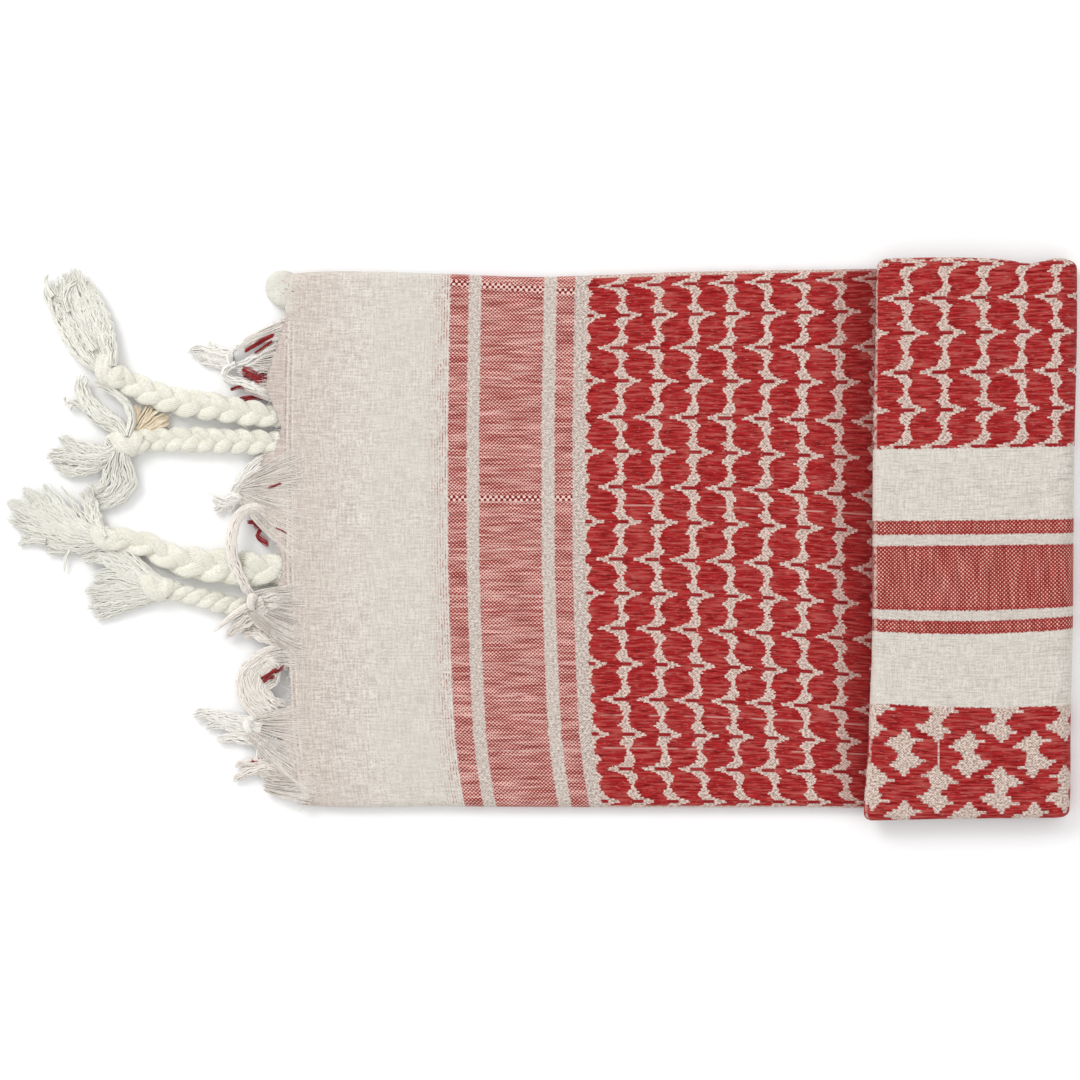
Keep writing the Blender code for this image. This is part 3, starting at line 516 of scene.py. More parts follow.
class Weaver:
    """Short ways to add shader nodes to a tree."""

    def __init__(self, tree):
        self.tree = tree

    def put(self, socket, value):
        if isinstance(value, Value):
            self.tree.links.new(value.socket, socket)
        else:
            socket.default_value = value

    def node(self, kind, inputs, output=0, **settings):
        """Adds a node and gives one of its outputs. An input is a number, a colour or a Value."""
        node = self.tree.nodes.new(kind)
        for key, value in settings.items():
            setattr(node, key, value)
        for key, value in inputs.items():
            self.put(node.inputs[key], value)
        return Value(self, node.outputs[output])

    def math(self, operation, *values):
        return self.node("ShaderNodeMath", dict(enumerate(values)), operation=operation)

    def above(self, value, at, soft=0.6):
        """0 where a value is below a place and 1 above it."""
        given = {"Value": value, "From Min": at - soft, "From Max": at + soft}
        return self.node("ShaderNodeMapRange", given, "Result", interpolation_type="SMOOTHSTEP")

    def below(self, value, at, soft=0.6):
        return 1.0 - self.above(value, at, soft)

    def band(self, value, start, stop, soft=0.6):
        return self.above(value, start, soft) * self.below(value, stop, soft)

    def either(self, *values):
        total = values[0]
        for value in values[1:]:
            total = self.math("MAXIMUM", total, value)
        return total

    def bands(self, value, pairs, soft=0.6):
        return self.either(*[self.band(value, *pair, soft) for pair in pairs])

    def lines(self, value, places, half=0.9):
        """Thin lines at some places, each so wide to either side."""
        return self.either(*[self.below(abs(value - place), half, 0.5) for place in places])

    def ramp(self, value, low, high, to_low=0.0, to_high=1.0):
        given = dict(enumerate((value, low, high, to_low, to_high)))
        return self.node("ShaderNodeMapRange", given, "Result")

    def mix(self, factor, a, b, blend="MIX"):
        given = {0: factor, 6: a, 7: b}
        return self.node("ShaderNodeMix", given, 2, data_type="RGBA", blend_type=blend)

    def over(self, colour, *coats):
        """A colour under coats of others: rows of how strong each is and its r, g and b."""
        for strength, *photo_colour in coats:
            colour = self.mix(strength, colour, rgb(*photo_colour))
        return colour

    def pick(self, factor, a, b):
        """The value a where factor is 0 and b where it is 1."""
        return self.node("ShaderNodeMix", {0: factor, 2: a, 3: b}, data_type="FLOAT")

    def uv(self, name):
        return self.node("ShaderNodeUVMap", {}, uv_map=name)

    def parts(self, vector):
        return [self.node("ShaderNodeSeparateXYZ", {0: vector}, part) for part in (0, 1)]

    def noise(self, place, grain, detail, seed):
        """Noise with grains of that length and width, in the units of the place."""
        along, across = (value / size for value, size in zip(place, grain))
        vector = self.node("ShaderNodeCombineXYZ", {0: along, 1: across, 2: seed})
        given = {"Vector": vector, "Scale": 1.0, "Detail": detail}
        return self.node("ShaderNodeTexNoise", given, "Fac")

    def patches(self, place, grain, detail, seed, level, soft=0.05):
        """Noise, as 0 below a level and 1 above it."""
        return self.above(self.noise(place, grain, detail, seed), level, soft)

    def clouds(self, place, grain, detail, seed, *levels):
        """Noise, ramped between levels."""
        return self.ramp(self.noise(place, grain, detail, seed), *levels)

    def ragged(self, x, y, seed, size):
        """A step to one side or the other, even up to half of size, for each whole x and y."""
        floors = [self.math("FLOOR", value) for value in (x, y)]
        given = {"Vector": self.node("ShaderNodeCombineXYZ", {0: floors[0], 1: floors[1], 2: seed})}
        chance = self.node("ShaderNodeTexWhiteNoise", given, "Value", noise_dimensions="3D")
        return (chance - 0.5) * size

    def sine(self, value, wave):
        return self.math("SINE", value * (2 * math.pi / wave))

    def off_pick(self, row, picks, nearest):
        """How far a row's picks lie from its middle. A figure is stepped from pick to pick."""
        return abs((self.math("FLOOR", row * picks) + 0.5) / picks - nearest)

    def curve(self, value, rows, high):
        """A charted line: rows of (place, height), as a share of the last place and of high."""
        node = self.tree.nodes.new("ShaderNodeFloatCurve")
        points = node.mapping.curves[0].points
        rows = [(at / rows[-1][0], reach / high) for at, reach in rows]
        points[0].location, points[1].location = rows[0], rows[-1]
        for row in rows[1:-1]:
            points.new(*row)
        for point in points:
            point.handle_type = "VECTOR"
        node.mapping.update()
        self.put(node.inputs["Value"], value)
        return Value(self, node.outputs[0])

    def figure(self, group, vector):
        """What a figure's group gives at a place in it."""
        node = self.tree.nodes.new("ShaderNodeGroup")
        node.node_tree = group
        self.put(node.inputs[0], vector)
        return [Value(self, socket) for socket in node.outputs]

    def bump(self, shader, height, strength, distance):
        given = {"Strength": strength, "Distance": distance * MM, "Height": height}
        self.put(shader.inputs["Normal"], self.node("ShaderNodeBump", given))


def start_figure(name, outputs):
    """A weaver of a group of nodes that gives where a figure's parts are, the column and row that
    a place in the figure is at, the row whose middle is nearest, and 1 where that one is odd."""
    group = bpy.data.node_groups.new(name, "ShaderNodeTree")
    group.interface.new_socket("Motif", in_out="INPUT", socket_type="NodeSocketVector")
    for label in outputs:
        group.interface.new_socket(label, in_out="OUTPUT", socket_type="NodeSocketFloat")
    w = Weaver(group)
    column, row = w.parts(Value(w, group.nodes.new("NodeGroupInput").outputs[0]))
    nearest = w.math("ROUND", row)
    return w, column, row, nearest, w.math("FLOORED_MODULO", nearest, 2.0)


def finish_figure(w, *values):
    for socket, value in zip(w.tree.nodes.new("NodeGroupOutput").inputs, values):
        w.put(socket, value)
    return w.tree


# The wave figure round a column line: how far its white reaches to the right and to the left of
# the line, in pixels, at each distance from the middle line of a gap. Half a row is 17.5.
REACH_MAX = 32.0
PICKS = 22.0  # to a row
RIGHT_WEDGE_RIGHT = [
    (0, 20.6), (1.1, 18.6), (1.9, 15), (3.0, 11.6), (4.4, 8.6), (5.6, 6.6), (8.8, 4), (11.9, 3),
    (14.9, 1.6), (17.5, 2),
]
RIGHT_WEDGE_LEFT = [
    (0, 4.4), (1.9, 3.0), (3.4, 4), (5.7, 5.4), (7.5, 7.2), (8.8, 8.2), (10, 7.6), (11.9, 4.6),
    (14.9, 2.8), (17.5, 2.4),
]
LEFT_WEDGE_LEFT = [
    (0, 25), (1.2, 22.8), (2.2, 18), (3.2, 14.6), (4.4, 11.4), (6, 8.4), (8.6, 5.4), (12.6, 3.4),
    (16.4, 2.4), (17.5, 2.4),
]
LEFT_WEDGE_RIGHT = [
    (0, 1.4), (2.4, 1.2), (4.4, 2.6), (6.5, 5.2), (8.8, 5.9), (11.8, 5.2), (14, 3), (16.4, 2), (17.5, 2),
]
WAVE_RAGGED, WAVE_RIM = 3.2, 2.2
# How far right and left of the line a gap's dark dash reaches
RIGHT_DASH, LEFT_DASH = (8.0, 5.0), (1.8, 12.4)
# The star figure, two stars on one neck: how far its white reaches at each distance from the
# neck, on the side of the star's nearer arm and on the side of its further one
STAR_PICKS = 12.0  # to a row: the stars are stepped more coarsely than the waves
STAR_TALL, STAR_WIDE = 24.0, 28.0
NEARER_ARM = [
    (0, 6.5), (2, 9), (4, 12.5), (6, 15.5), (7.2, 20), (8.4, 27), (9.8, 20), (11, 16), (12.5, 14.5),
    (14.5, 11.5), (16, 7.5), (18, 5), (20, 3.5), (22, 2), (24, 0),
]
FURTHER_ARM = [
    (0, 5.5), (4, 5.4), (6.5, 7.5), (9, 9), (11, 10), (12.4, 13.5), (14, 18), (15.4, 12), (16.6, 7.5),
    (18, 6), (20, 5.5), (22, 3.5), (24, 0),
]


def wave_figure():
    """Where it is white, where that is the white's rim, and where it has a dark dash."""
    w, column, row, nearest, odd = start_figure("wave_figure", ("White", "Rim", "Dash"))
    off = w.off_pick(row, PICKS, nearest) * 2.0
    right = w.math("FRACT", column) * FIGURE_PITCH
    left = FIGURE_PITCH - right

    def reach(even_gap, odd_gap, seed):
        even_gap, odd_gap = (w.curve(off, rows, REACH_MAX) for rows in (even_gap, odd_gap))
        ragged = w.ragged(row * PICKS, column + 0.5, seed, WAVE_RAGGED)
        return w.pick(odd, even_gap, odd_gap) * REACH_MAX + ragged

    def within(right_reach, left_reach, soft=1.0):
        return w.either(w.below(right, right_reach, soft), w.below(left, left_reach, soft))

    right_reach = reach(LEFT_WEDGE_RIGHT, RIGHT_WEDGE_RIGHT, 1.0)
    left_reach = reach(LEFT_WEDGE_LEFT, RIGHT_WEDGE_LEFT, 2.0)
    white = within(right_reach, left_reach, 0.6)
    inside = within(right_reach - WAVE_RIM, left_reach - WAVE_RIM)
    dash = w.below(abs(row - nearest), 0.052, 0.012) * w.pick(odd, within(*LEFT_DASH), within(*RIGHT_DASH))
    return finish_figure(w, white * (1.0 - dash), white * (1.0 - inside), dash)


def star_figure():
    """Where it is white."""
    w, column, row, nearest, odd = start_figure("star_figure", ("White",))
    off = w.off_pick(row, STAR_PICKS, nearest) * STARS_ROW
    below = w.above(row - nearest, 0.0, 0.001)
    # the nearer arm is the left one below the neck of an even row and above that of an odd one
    turn = 1.0 - abs(odd - below) * 2.0

    def star(off, shift, seed):
        place = column + (shift * 0.5 + 0.5)
        x = (w.math("FRACT", place) - 0.5) * STARS_PITCH * turn
        nearer, further = (w.curve(off / STAR_TALL, arm, STAR_WIDE) for arm in (NEARER_ARM, FURTHER_ARM))
        reach = w.pick(w.above(x, 0.0, 0.001), further, nearer) * STAR_WIDE
        most = w.math("MINIMUM", reach * 0.7, 5.0)
        ragged = w.ragged(row * STAR_PICKS, w.math("SIGN", x) + place, seed, most)
        return w.below(abs(x), reach + ragged, 0.8) * w.above(reach, 1.0, 0.5)

    return finish_figure(w, w.either(star(off, odd, 3.0), star(STARS_ROW - off, 1.0 - odd, 4.0)))


def cotton_colour(w, place):
    """Loose plain-woven cotton, uneven in both directions, with darker flecks."""
    both = w.noise(place, (17, 1.7), 3, 1.0) * 0.5 + w.noise(place, (1.7, 16), 3, 2.0) * 0.5
    flecks = w.patches(place, (3.0, 1.8), 2, 4.0, 0.60)
    knots = w.patches(place, (1.7, 1.7), 1, 9.0, 0.68, 0.03)
    dull = w.clouds(place, (60, 60), 3, 3.0, 0.35, 0.7, 0.0, 0.4)
    colour = w.mix(w.ramp(both, 0.38, 0.60), rgb(200, 190, 181), rgb(238, 233, 225))
    return w.over(
        colour, (flecks * 0.6, 184, 168, 160), (knots * 0.65, 154, 134, 130), (dull, 219, 212, 203)
    )


def ground_colour(w, place):
    """The speckled ground between the figures: plain weave, with gaps that show dark."""
    a, v = place
    dots = w.sine(a, 2.9) * w.sine(v, 2.7) * 0.09 + w.noise(place, (2.4, 2.0), 2, 7.0)
    warps = w.clouds(place, (1.8, 14), 2, 8.0, 0.45, 0.66)
    colour = w.mix(w.ramp(dots, 0.38, 0.62), rgb(148, 128, 118), rgb(234, 220, 210))
    return w.over(colour, (warps * 0.45, 190, 172, 164))


def float_colour(w, place):
    """Red floats, silky and uneven, each a pick tall and a few millimetres long."""
    silk = w.clouds(place, (15, 1.5), 3, 11.0, 0.38, 0.62)
    picks = w.clouds(place, (26, 2.6), 1, 12.0, 0.48, 0.66)
    bare = w.patches(place, (7, 1.2), 2, 13.0, 0.64)
    colour = w.mix(silk, rgb(126, 6, 10), rgb(178, 38, 40))
    return w.over(colour, (picks * 0.75, 186, 86, 80), (bare * 0.5, 204, 130, 120))


BIG_CHEQUER = 5.6


def stripe_colour(w, place, big=0.0, pitch=(3.8, 3.4), redder=0.0, uneven=0.3):
    """A stripe of red crossed with cream, in a fine chequer whose depth wanders, or in a big one
    where big is 1. Gives where it is cream, too."""
    a, v = place
    drift = w.noise(place, (40, 14), 2, 21.0)
    fine = w.sine(a + drift * 5.0, pitch[0]) * w.sine(v, pitch[1])
    chequer = w.pick(big, fine, w.sine(a, BIG_CHEQUER) * w.sine(v, BIG_CHEQUER) * 1.6)
    rows = w.clouds(place, (34, 3.0), 2, 23.0, 0.34, 0.66, -uneven, uneven)
    cream = w.above(chequer, w.ramp(drift, 0.3, 0.7, redder - 0.12, redder + 0.16) + rows, 0.22)
    thread = w.clouds(place, (28, 1.6), 2, 22.0, 0.35, 0.65)
    red = w.over(w.mix(thread, rgb(122, 28, 28), rgb(160, 56, 50)), (big * 0.7, 118, 10, 20))
    pale = w.over(w.mix(thread, rgb(202, 146, 136), rgb(246, 206, 196)), (big * 0.6, 250, 226, 214))
    return w.mix(cream * 0.95, red, pale), cream


# How the ground is tinted by the red weft that lies behind it, in the two figures
WAVE_TINT, STAR_TINT = (1.04, 0.945, 0.925, 1.0), (1.08, 1.02, 1.0, 1.0)
DARK_RED = 150, 20, 28


def wave_colour(w, parts, red, ground):
    white, rim, dash = parts
    bare = w.mix(1.0, ground, WAVE_TINT, "MULTIPLY")
    return w.mix(white, w.over(red, (dash * 0.6, 140, 18, 26)), w.over(bare, (rim * 0.4, 240, 222, 210)))


def start_material(name, roughness, sheen=0.0):
    material = bpy.data.materials.new(name)
    material.use_nodes = True
    shader = material.node_tree.nodes["Principled BSDF"]
    shader.inputs["Roughness"].default_value = roughness
    shader.inputs["Specular IOR Level"].default_value = 0.12
    shader.inputs["Sheen Weight"].default_value = sheen
    shader.inputs["Sheen Roughness"].default_value = 0.6
    return material, Weaver(material.node_tree), shader


THREAD = 2.1  # from one thread to the next, in pixels


def weave_bump(w, shader, place, raised):
    """Threads both ways, with the figures' floats lying a little proud."""
    a, v = place
    slubs = w.noise(place, (22, 1.8), 3, 31.0) + w.noise(place, (1.8, 22), 3, 32.0)
    height = w.sine(a, THREAD) * w.sine(v, THREAD) * 0.16 + slubs + raised * 0.9
    w.bump(shader, height, 0.55, 0.22)


# The strip's looks, in pixels along it (a) and across it (v)
STRIP_STRIPES_A = (449, 467.5), (480, 542.5), (555.5, 573.5)
LAST_GAP_A, FIGURE_A, SPECKLED_A = (573.5, 587), 586.0, 467
# FOLD_SHADE_A: where painted shade darkens the strip towards the turned-over end
WARMER_A, CREAMY_A, FOLD_SHADE_A = 340, (372, 446), (815, 872)
BLUSH_A, BLUSH_TO_A = (426, 440), 450
KNOB_SPOTS_A, KNOB_SPOTS_V, KNOB_A, CORNER_V = (279, 296), (278, 296), 288, 312
HEMMED_V, STITCHES_A, PULLED_A, LOOSE_A = 322, (288.2, 293.2), (286.0, 290.8), 285
# A pick of bigger dots at the top leans, and one in the middle doesn't
BIG_LEAN, BIG_LEANING, BIG_V = -0.07, (248.6, 254.6), (495.6, 501.0)
PALE_PICKS_V, PALE_PICKS_A = (379, 502, 549, 596, 637, 663, 696, 715, 751), 447
DARK_PICKS_V = 332, 419, 470, 612
STREAKS_V = 505, 715, 748
# The rows that the wave figure ends at
FIRST_ROW, LAST_ROW = -0.3, 15.16


def strip_cotton(w, place):
    """The plain cotton by the hem, which blushes where it meets the first stripe."""
    a, v = place
    cotton = w.mix(w.below(a, WARMER_A, 50) * 0.4, cotton_colour(w, place), rgb(238, 223, 217), "MULTIPLY")
    creamy = w.band(a, *CREAMY_A, 14)
    near = w.ramp(a, *BLUSH_A) * w.below(a, BLUSH_TO_A, 1)
    patches = w.clouds(place, (9, 15), 2, 42.0, 0.4, 0.56, 0.25, 1.0)
    threads = w.above(w.sine(a, 2.7), 0.1, 0.5) * w.patches(place, (1.5, 2.6), 2, 41.0, 0.49)
    blush = near * patches * threads
    return w.over(cotton, (creamy * 0.3, 208, 202, 190), (blush * 0.85, 170, 112, 104))


def strip_stripes(w, place):
    a, v = place
    big = w.either(w.band(v + a * BIG_LEAN, *BIG_LEANING, 0.5), w.band(v, *BIG_V, 0.5))
    dots, cream = stripe_colour(w, place, big)
    pale = w.lines(v, PALE_PICKS_V) * w.above(a, PALE_PICKS_A, 1)
    pale = pale * w.clouds(place, (16, 3), 1, 45.0, 0.4, 0.6)
    dark = w.lines(v, DARK_PICKS_V)
    return w.over(dots, (pale * 0.6, 232, 198, 186), (dark * 0.45, *DARK_RED)), cream


def corner_and_hem(w, place, colour):
    """The knob's undyed cloth with its stitched spots, the hem's stitches, and its loose warps."""
    a, v = place
    corner = w.below(v, CORNER_V, 3)
    knob = w.below(a, KNOB_A, 12) * corner * w.clouds(place, (5, 4), 3, 50.0, 0.35, 0.6, 0.6, 0.95)
    spots = w.patches(place, (2.2, 2.2), 1, 48.0, 0.63, 0.03)
    spots = spots * w.band(a, *KNOB_SPOTS_A, 3) * w.band(v, *KNOB_SPOTS_V, 3)
    hemmed = w.above(v, HEMMED_V, 8)
    stitches = w.lines(a, STITCHES_A, 0.5) * hemmed * w.clouds(place, (5, 2.2), 1, 46.0, 0.4, 0.6)
    pulled = w.lines(a, PULLED_A, 0.7) * hemmed * w.clouds(place, (5, 1.8), 1, 47.0, 0.46, 0.56)
    past_hem = 1.0 - w.either(w.above(a, LOOSE_A, 2), corner)
    loose = w.patches(place, (24, 1.2), 2, 49.0, 0.52, 0.06) * past_hem
    return w.over(
        colour,
        (knob, 226, 226, 215),
        (spots * 0.75, 160, 100, 98),
        (stitches * 0.75, 244, 238, 230),
        (pulled * 0.75, 158, 130, 124),
        (loose * 0.5, 184, 160, 154),
    )


def strip_material(wave):
    material, w, shader = start_material("figured_cotton_strip", 0.92, 0.06)
    place = w.parts(w.uv("Threads"))
    a, v = place
    motif = w.uv("Motif")
    row = w.parts(motif)[1]
    edge = a + w.ragged(0.0, v / 1.6, 5.0, 1.4)
    stripes = w.bands(edge, STRIP_STRIPES_A)
    ground = ground_colour(w, place)
    dots, cream = strip_stripes(w, place)
    colour = w.mix(w.above(a, SPECKLED_A, 1) * 0.7, strip_cotton(w, place), ground)
    colour = w.mix(w.band(a, *LAST_GAP_A, 1) * 0.6, colour, ground)
    colour = w.mix(stripes, colour, dots)
    white, rim, dash = w.figure(wave, motif)
    white = w.either(white, w.below(row, FIRST_ROW, 0.03), w.above(row, LAST_ROW, 0.03))
    figure = wave_colour(w, (white, rim, dash), float_colour(w, place), ground)
    streaks = w.lines(v, STREAKS_V, 0.8) * w.patches(place, (30, 40), 1, 44.0, 0.5)
    figure = w.over(figure, (streaks * 0.55, 222, 180, 168))
    in_figure = w.above(edge, FIGURE_A)
    colour = w.mix(in_figure, colour, figure)
    # painted shade: the strip is darkened towards the turned-over end, where that end's shadow falls on it
    colour = w.mix(w.ramp(a, *FOLD_SHADE_A, 0.0, 0.75), colour, rgb(186, 120, 118), "MULTIPLY")
    w.put(shader.inputs["Base Color"], corner_and_hem(w, place, colour))
    weave_bump(w, shader, place, in_figure * (1.0 - white) + stripes * cream * 0.4)
    return material


# The same for the turned-over end
TURNED_STRIPES_V = (521, 535), (546, 609), (618.5, 631)
BETWEEN_V = (535, 546), (609, 618.5)
DARK_ENDS_V = 522.5, 533.5, 548, 607, 620, 629.5
WAVES_TO_V, STARS_FROM_V, WAVES_FROM_V = 449.5, 702.5, 262.5
STAR_THREAD_A, STAR_THREAD_V = (936.8, 938.6), (715, 772)
LIP_A, LIP_LEANS_V, LIP_LEAN = (872.5, 876.5), (690, 796), 9.5


def turned_material(wave, star):
    material, w, shader = start_material("figured_cotton_turned", 0.92, 0.06)
    place = w.parts(w.uv("Threads"))
    a, v = place
    motif = w.uv("Motif")
    edge = v + w.ragged(a / 1.6, 0.0, 6.0, 1.2)
    stripes = w.bands(edge, TURNED_STRIPES_V)
    wefts = w.patches(place, (30, 1.3), 2, 51.0, 0.6) * w.clouds(place, (22, 22), 1, 52.0, 0.4, 0.6)
    cotton = w.over(cotton_colour(w, place), (0.2, 206, 203, 190), (wefts * 0.5, 160, 150, 142))
    dots, cream = stripe_colour(w, (v, a), pitch=(3.9, 3.9), redder=0.37, uneven=0.15)
    dots = w.mix(1.0, dots, (1.07, 1.0, 0.96, 1.0), "MULTIPLY")
    dots = w.over(dots, (w.lines(v, DARK_ENDS_V, 1.6) * 0.4, *DARK_RED))
    ground, red = ground_colour(w, place), float_colour(w, place)
    colour = w.mix(w.bands(v, BETWEEN_V, 1) * 0.3, cotton, ground)
    colour = w.mix(stripes, colour, dots)
    white_wave, rim, dash = w.figure(wave, motif)
    top = w.below(v, WAVES_FROM_V, 0.8) * w.patches(place, (7, 5), 1, 54.0, 0.5)
    white_wave = w.either(white_wave, top)
    in_waves, in_stars = w.below(edge, WAVES_TO_V), w.above(edge, STARS_FROM_V)
    colour = w.mix(in_waves, colour, wave_colour(w, (white_wave, rim, dash), red, ground))
    thread = w.band(a, *STAR_THREAD_A, 0.4) * w.band(v, *STAR_THREAD_V, 1)
    white_star = w.either(w.figure(star, motif)[0], thread)
    bare = w.mix(1.0, ground, STAR_TINT, "MULTIPLY")
    colour = w.mix(in_stars, colour, w.mix(white_star, red, bare))
    lip = w.band(a + w.ramp(v, *LIP_LEANS_V, 0.0, LIP_LEAN), *LIP_A, 0.8)
    lip = lip * w.clouds(place, (6, 5), 1, 53.0, 0.35, 0.6)
    w.put(shader.inputs["Base Color"], w.over(colour, (lip * 0.7, 222, 206, 194)))
    floats = in_waves * (1.0 - white_wave) + in_stars * (1.0 - white_star)
    weave_bump(w, shader, place, floats + stripes * cream * 0.4)
    return material


YARN_GRAIN = 900.0  # grains to a metre


def yarn_material(name, light, dark):
    """Spun cotton: its colour varies along and between the strands."""
    material, w, shader = start_material(name, 0.88, 0.25)
    place = w.node("ShaderNodeTexCoord", {}, "Object")

    def noise(scale, detail):
        return w.node("ShaderNodeTexNoise", {"Vector": place, "Scale": scale, "Detail": detail}, "Fac")

    colour = w.mix(w.ramp(noise(YARN_GRAIN, 3.0), 0.35, 0.65), light, dark)
    colour = w.mix(w.ramp(noise(110.0, 2.0), 0.4, 0.65, 0.0, 0.6), colour, dark)
    w.put(shader.inputs["Base Color"], colour)
    w.bump(shader, noise(YARN_GRAIN * 2.2, 2.0), 0.4, 0.15)
    return material


# ---------------------------------------------------------------- plaits, tassels and fringe

# Where each tassel's bundle runs, half how wide and high it is there, and the pitch of its plait
# or rope. The last place but one is where it is knotted.
Tassel = namedtuple("Tassel", "node weave pitch places")
TASSELS = [
    Tassel("tassel_1", "plait", 10.2, [
        (-131.2, 62.6, 3.4, 5.6, 2.7), (-149.8, 65.2, 5.0, 7.0, 4.4), (-164.7, 67.7, 5.0, 7.5, 4.5),
        (-191.3, 72.3, 5.0, 7.5, 4.5), (-205.0, 77.8, 5.0, 7.2, 4.5), (-214.5, 82.4, 5.2, 6.6, 4.6),
        (-221.8, 86.6, 6.2, 8.0, 5.7), (-226.2, 91.6, 5.0, 5.6, 4.2),
    ]),
    Tassel("tassel_2", "plait", 8.4, [
        (-131.2, 49.8, 3.4, 5.6, 2.7), (-146.0, 50.2, 4.9, 6.6, 4.3), (-161.6, 50.8, 4.9, 6.9, 4.4),
        (-183.1, 51.8, 4.9, 6.9, 4.4), (-203.1, 50.8, 4.9, 6.4, 4.4), (-212.0, 49.8, 6.0, 7.4, 5.6),
        (-218.0, 49.4, 5.0, 6.6, 4.4),
    ]),
    Tassel("tassel_3", "plait", 13.0, [
        (-131.2, -15.4, 3.4, 7.4, 2.7), (-146.7, -15.4, 5.2, 9.4, 4.8), (-162.1, -13.9, 5.2, 9.6, 4.8),
        (-178.0, -12.2, 5.2, 8.8, 4.8), (-189.8, -9.4, 5.1, 7.8, 4.6), (-200.6, -3.6, 5.0, 7.0, 4.5),
        (-213.4, -0.5, 5.0, 6.5, 4.4), (-223.4, 1.0, 5.2, 6.6, 4.8), (-229.6, 3.4, 5.0, 10.4, 4.4),
    ]),
    Tassel("tassel_4", "rope", 5.0, [
        (-131.2, -34.4, 3.6, 4.7, 2.8), (-144.0, -34.4, 4.4, 5.2, 3.9), (-154.4, -33.9, 4.6, 5.4, 4.2),
        (-174.9, -29.8, 4.6, 5.5, 4.2), (-187.5, -26.2, 4.6, 5.4, 4.2), (-197.0, -24.6, 5.8, 7.2, 5.3),
        (-203.2, -24.4, 4.6, 5.6, 4.0),
    ]),
]
PLAIT_STEP = 1.8  # from one of its points to the next
YARNS = 20  # in a strand
YARN_TURN = 70.0  # they go once round it in this length
# How many strands a weave has, and their width and height as a share of the bundle's
WEAVES = {"plait": (3, 0.47, 0.60), "rope": (2, 0.56, 0.62)}
LAID = 0.82  # how far out the yarns' middles lie in a strand
HAIRS, HAIR_POINTS, HAIR_SIZE = 300, 6, 0.085
HAIR_FLOOR, YARN_FLOOR = 0.3, 0.4  # how low the middles of hairs and of yarns may lie


def rooted(tassel):
    """A bundle's places, with the first one at the hem."""
    places = np.array(tassel.places)
    places[0, 0] = hem_at(places[0, 1]) - 0.2
    return places


def plait_strands(out, tassel, places):
    """Two or three strands that cross, each of yarns laid round it."""
    at = lengths_along(places[:, :3])
    s = np.linspace(0, at[-1], round(at[-1] / PLAIT_STEP))
    line = smooth(at, places, s)
    middle, width, height = line[:, :3], line[:, 3], line[:, 4]
    line_side, line_up = axes_of(middle)
    ends = np.clip(np.minimum(s / 5, (s[-1] - s) / 4), 0, 1)
    count, share_wide, share_high = WEAVES[tassel.weave]
    strand_wide, strand_high = share_wide * width, share_high * height
    paths = []
    for k in range(count):
        turn = 2 * math.pi * (s / (3 * tassel.pitch) + k / count)
        if tassel.weave == "plait":
            turn += 0.22 * np.sin(s / 9.0 + 2.1 * k)
            across, lift = np.sin(turn), np.sin(2 * turn)
        else:
            across, lift = np.cos(turn), np.sin(turn)
        across = across * (width - strand_wide) * (0.35 + 0.65 * ends)
        lift = lift * (height - strand_high) * ends
        centre = middle + across[:, None] * line_side + lift[:, None] * line_up
        side, up = axes_of(centre)
        plump = LAID * (1 + 0.09 * np.sin(s / 6.1 + 2.6 * k) + 0.05 * np.sin(s / 2.7 + 4.0 * k))
        angle = 2 * math.pi * (np.arange(YARNS)[:, None] / YARNS - s / YARN_TURN)
        wide, high = strand_wide * plump * np.cos(angle), strand_high * plump * np.sin(angle)
        paths.extend(centre + wide[..., None] * side + high[..., None] * up)
    paths = np.array(paths)
    out.add(paths, math.pi * LAID * strand_wide / YARNS * 1.3)
    # what fills the strands' middles
    out.add(middle[None], 0.55 * height)
    rng = np.random.default_rng(len(places) + round(tassel.pitch * 10))
    which = rng.integers(0, len(paths), HAIRS)
    first = rng.integers(0, len(s) - HAIR_POINTS, HAIRS)
    hairs = paths[which[:, None], first[:, None] + np.arange(HAIR_POINTS)]
    outward = np.sign(hairs - middle[first + 3][:, None]) * [0.5, 0.5, 0.4]
    away = rng.normal(0, 0.5, (HAIRS, 1, 3)) * [1, 1, 0.6] + outward
    reach = (np.linspace(0, 1, HAIR_POINTS) ** 1.4)[:, None] * rng.uniform(0.4, 1.9, (HAIRS, 1, 1))
    hairs = hairs + away * reach
    hairs[..., 2] = np.maximum(hairs[..., 2], HAIR_FLOOR)
    out.add(hairs, HAIR_SIZE)


TIE_TURNS, TIE_POINTS = 1.15, 25


def level(ahead):
    """The level direction, out of a direction's X and Y."""
    return normalised(np.array([*ahead[:2], 0.0]))


def tie(out, place, ahead, slant, yarns, radius=0.42, shift=0.0, share=1.0):
    """A strand's turn round a bundle, as in a knot: its yarns slant, and lie in a rounded band."""
    width, height = place[3:]
    ahead = level(ahead)
    phi = 2 * math.pi * np.linspace(0, TIE_TURNS, TIE_POINTS) + 0.6
    yarn = np.arange(yarns)[:, None]
    across = 2 * yarn / (yarns - 1) - 1
    bulge = 0.93 * share * np.sqrt(1 - 0.42 * across**2) * (1 + 0.04 * np.sin(3 * phi + yarn))
    offset = across * (yarns - 1) / 2 * radius * 1.45 + slant * width * 0.5 * np.sin(phi + 0.9) + shift
    paths = place[:3] + offset[..., None] * ahead
    paths = paths + (width * bulge * np.cos(phi))[..., None] * np.cross(ahead, UP)
    out.add(paths + (height * bulge * np.sin(phi))[..., None] * UP, radius)


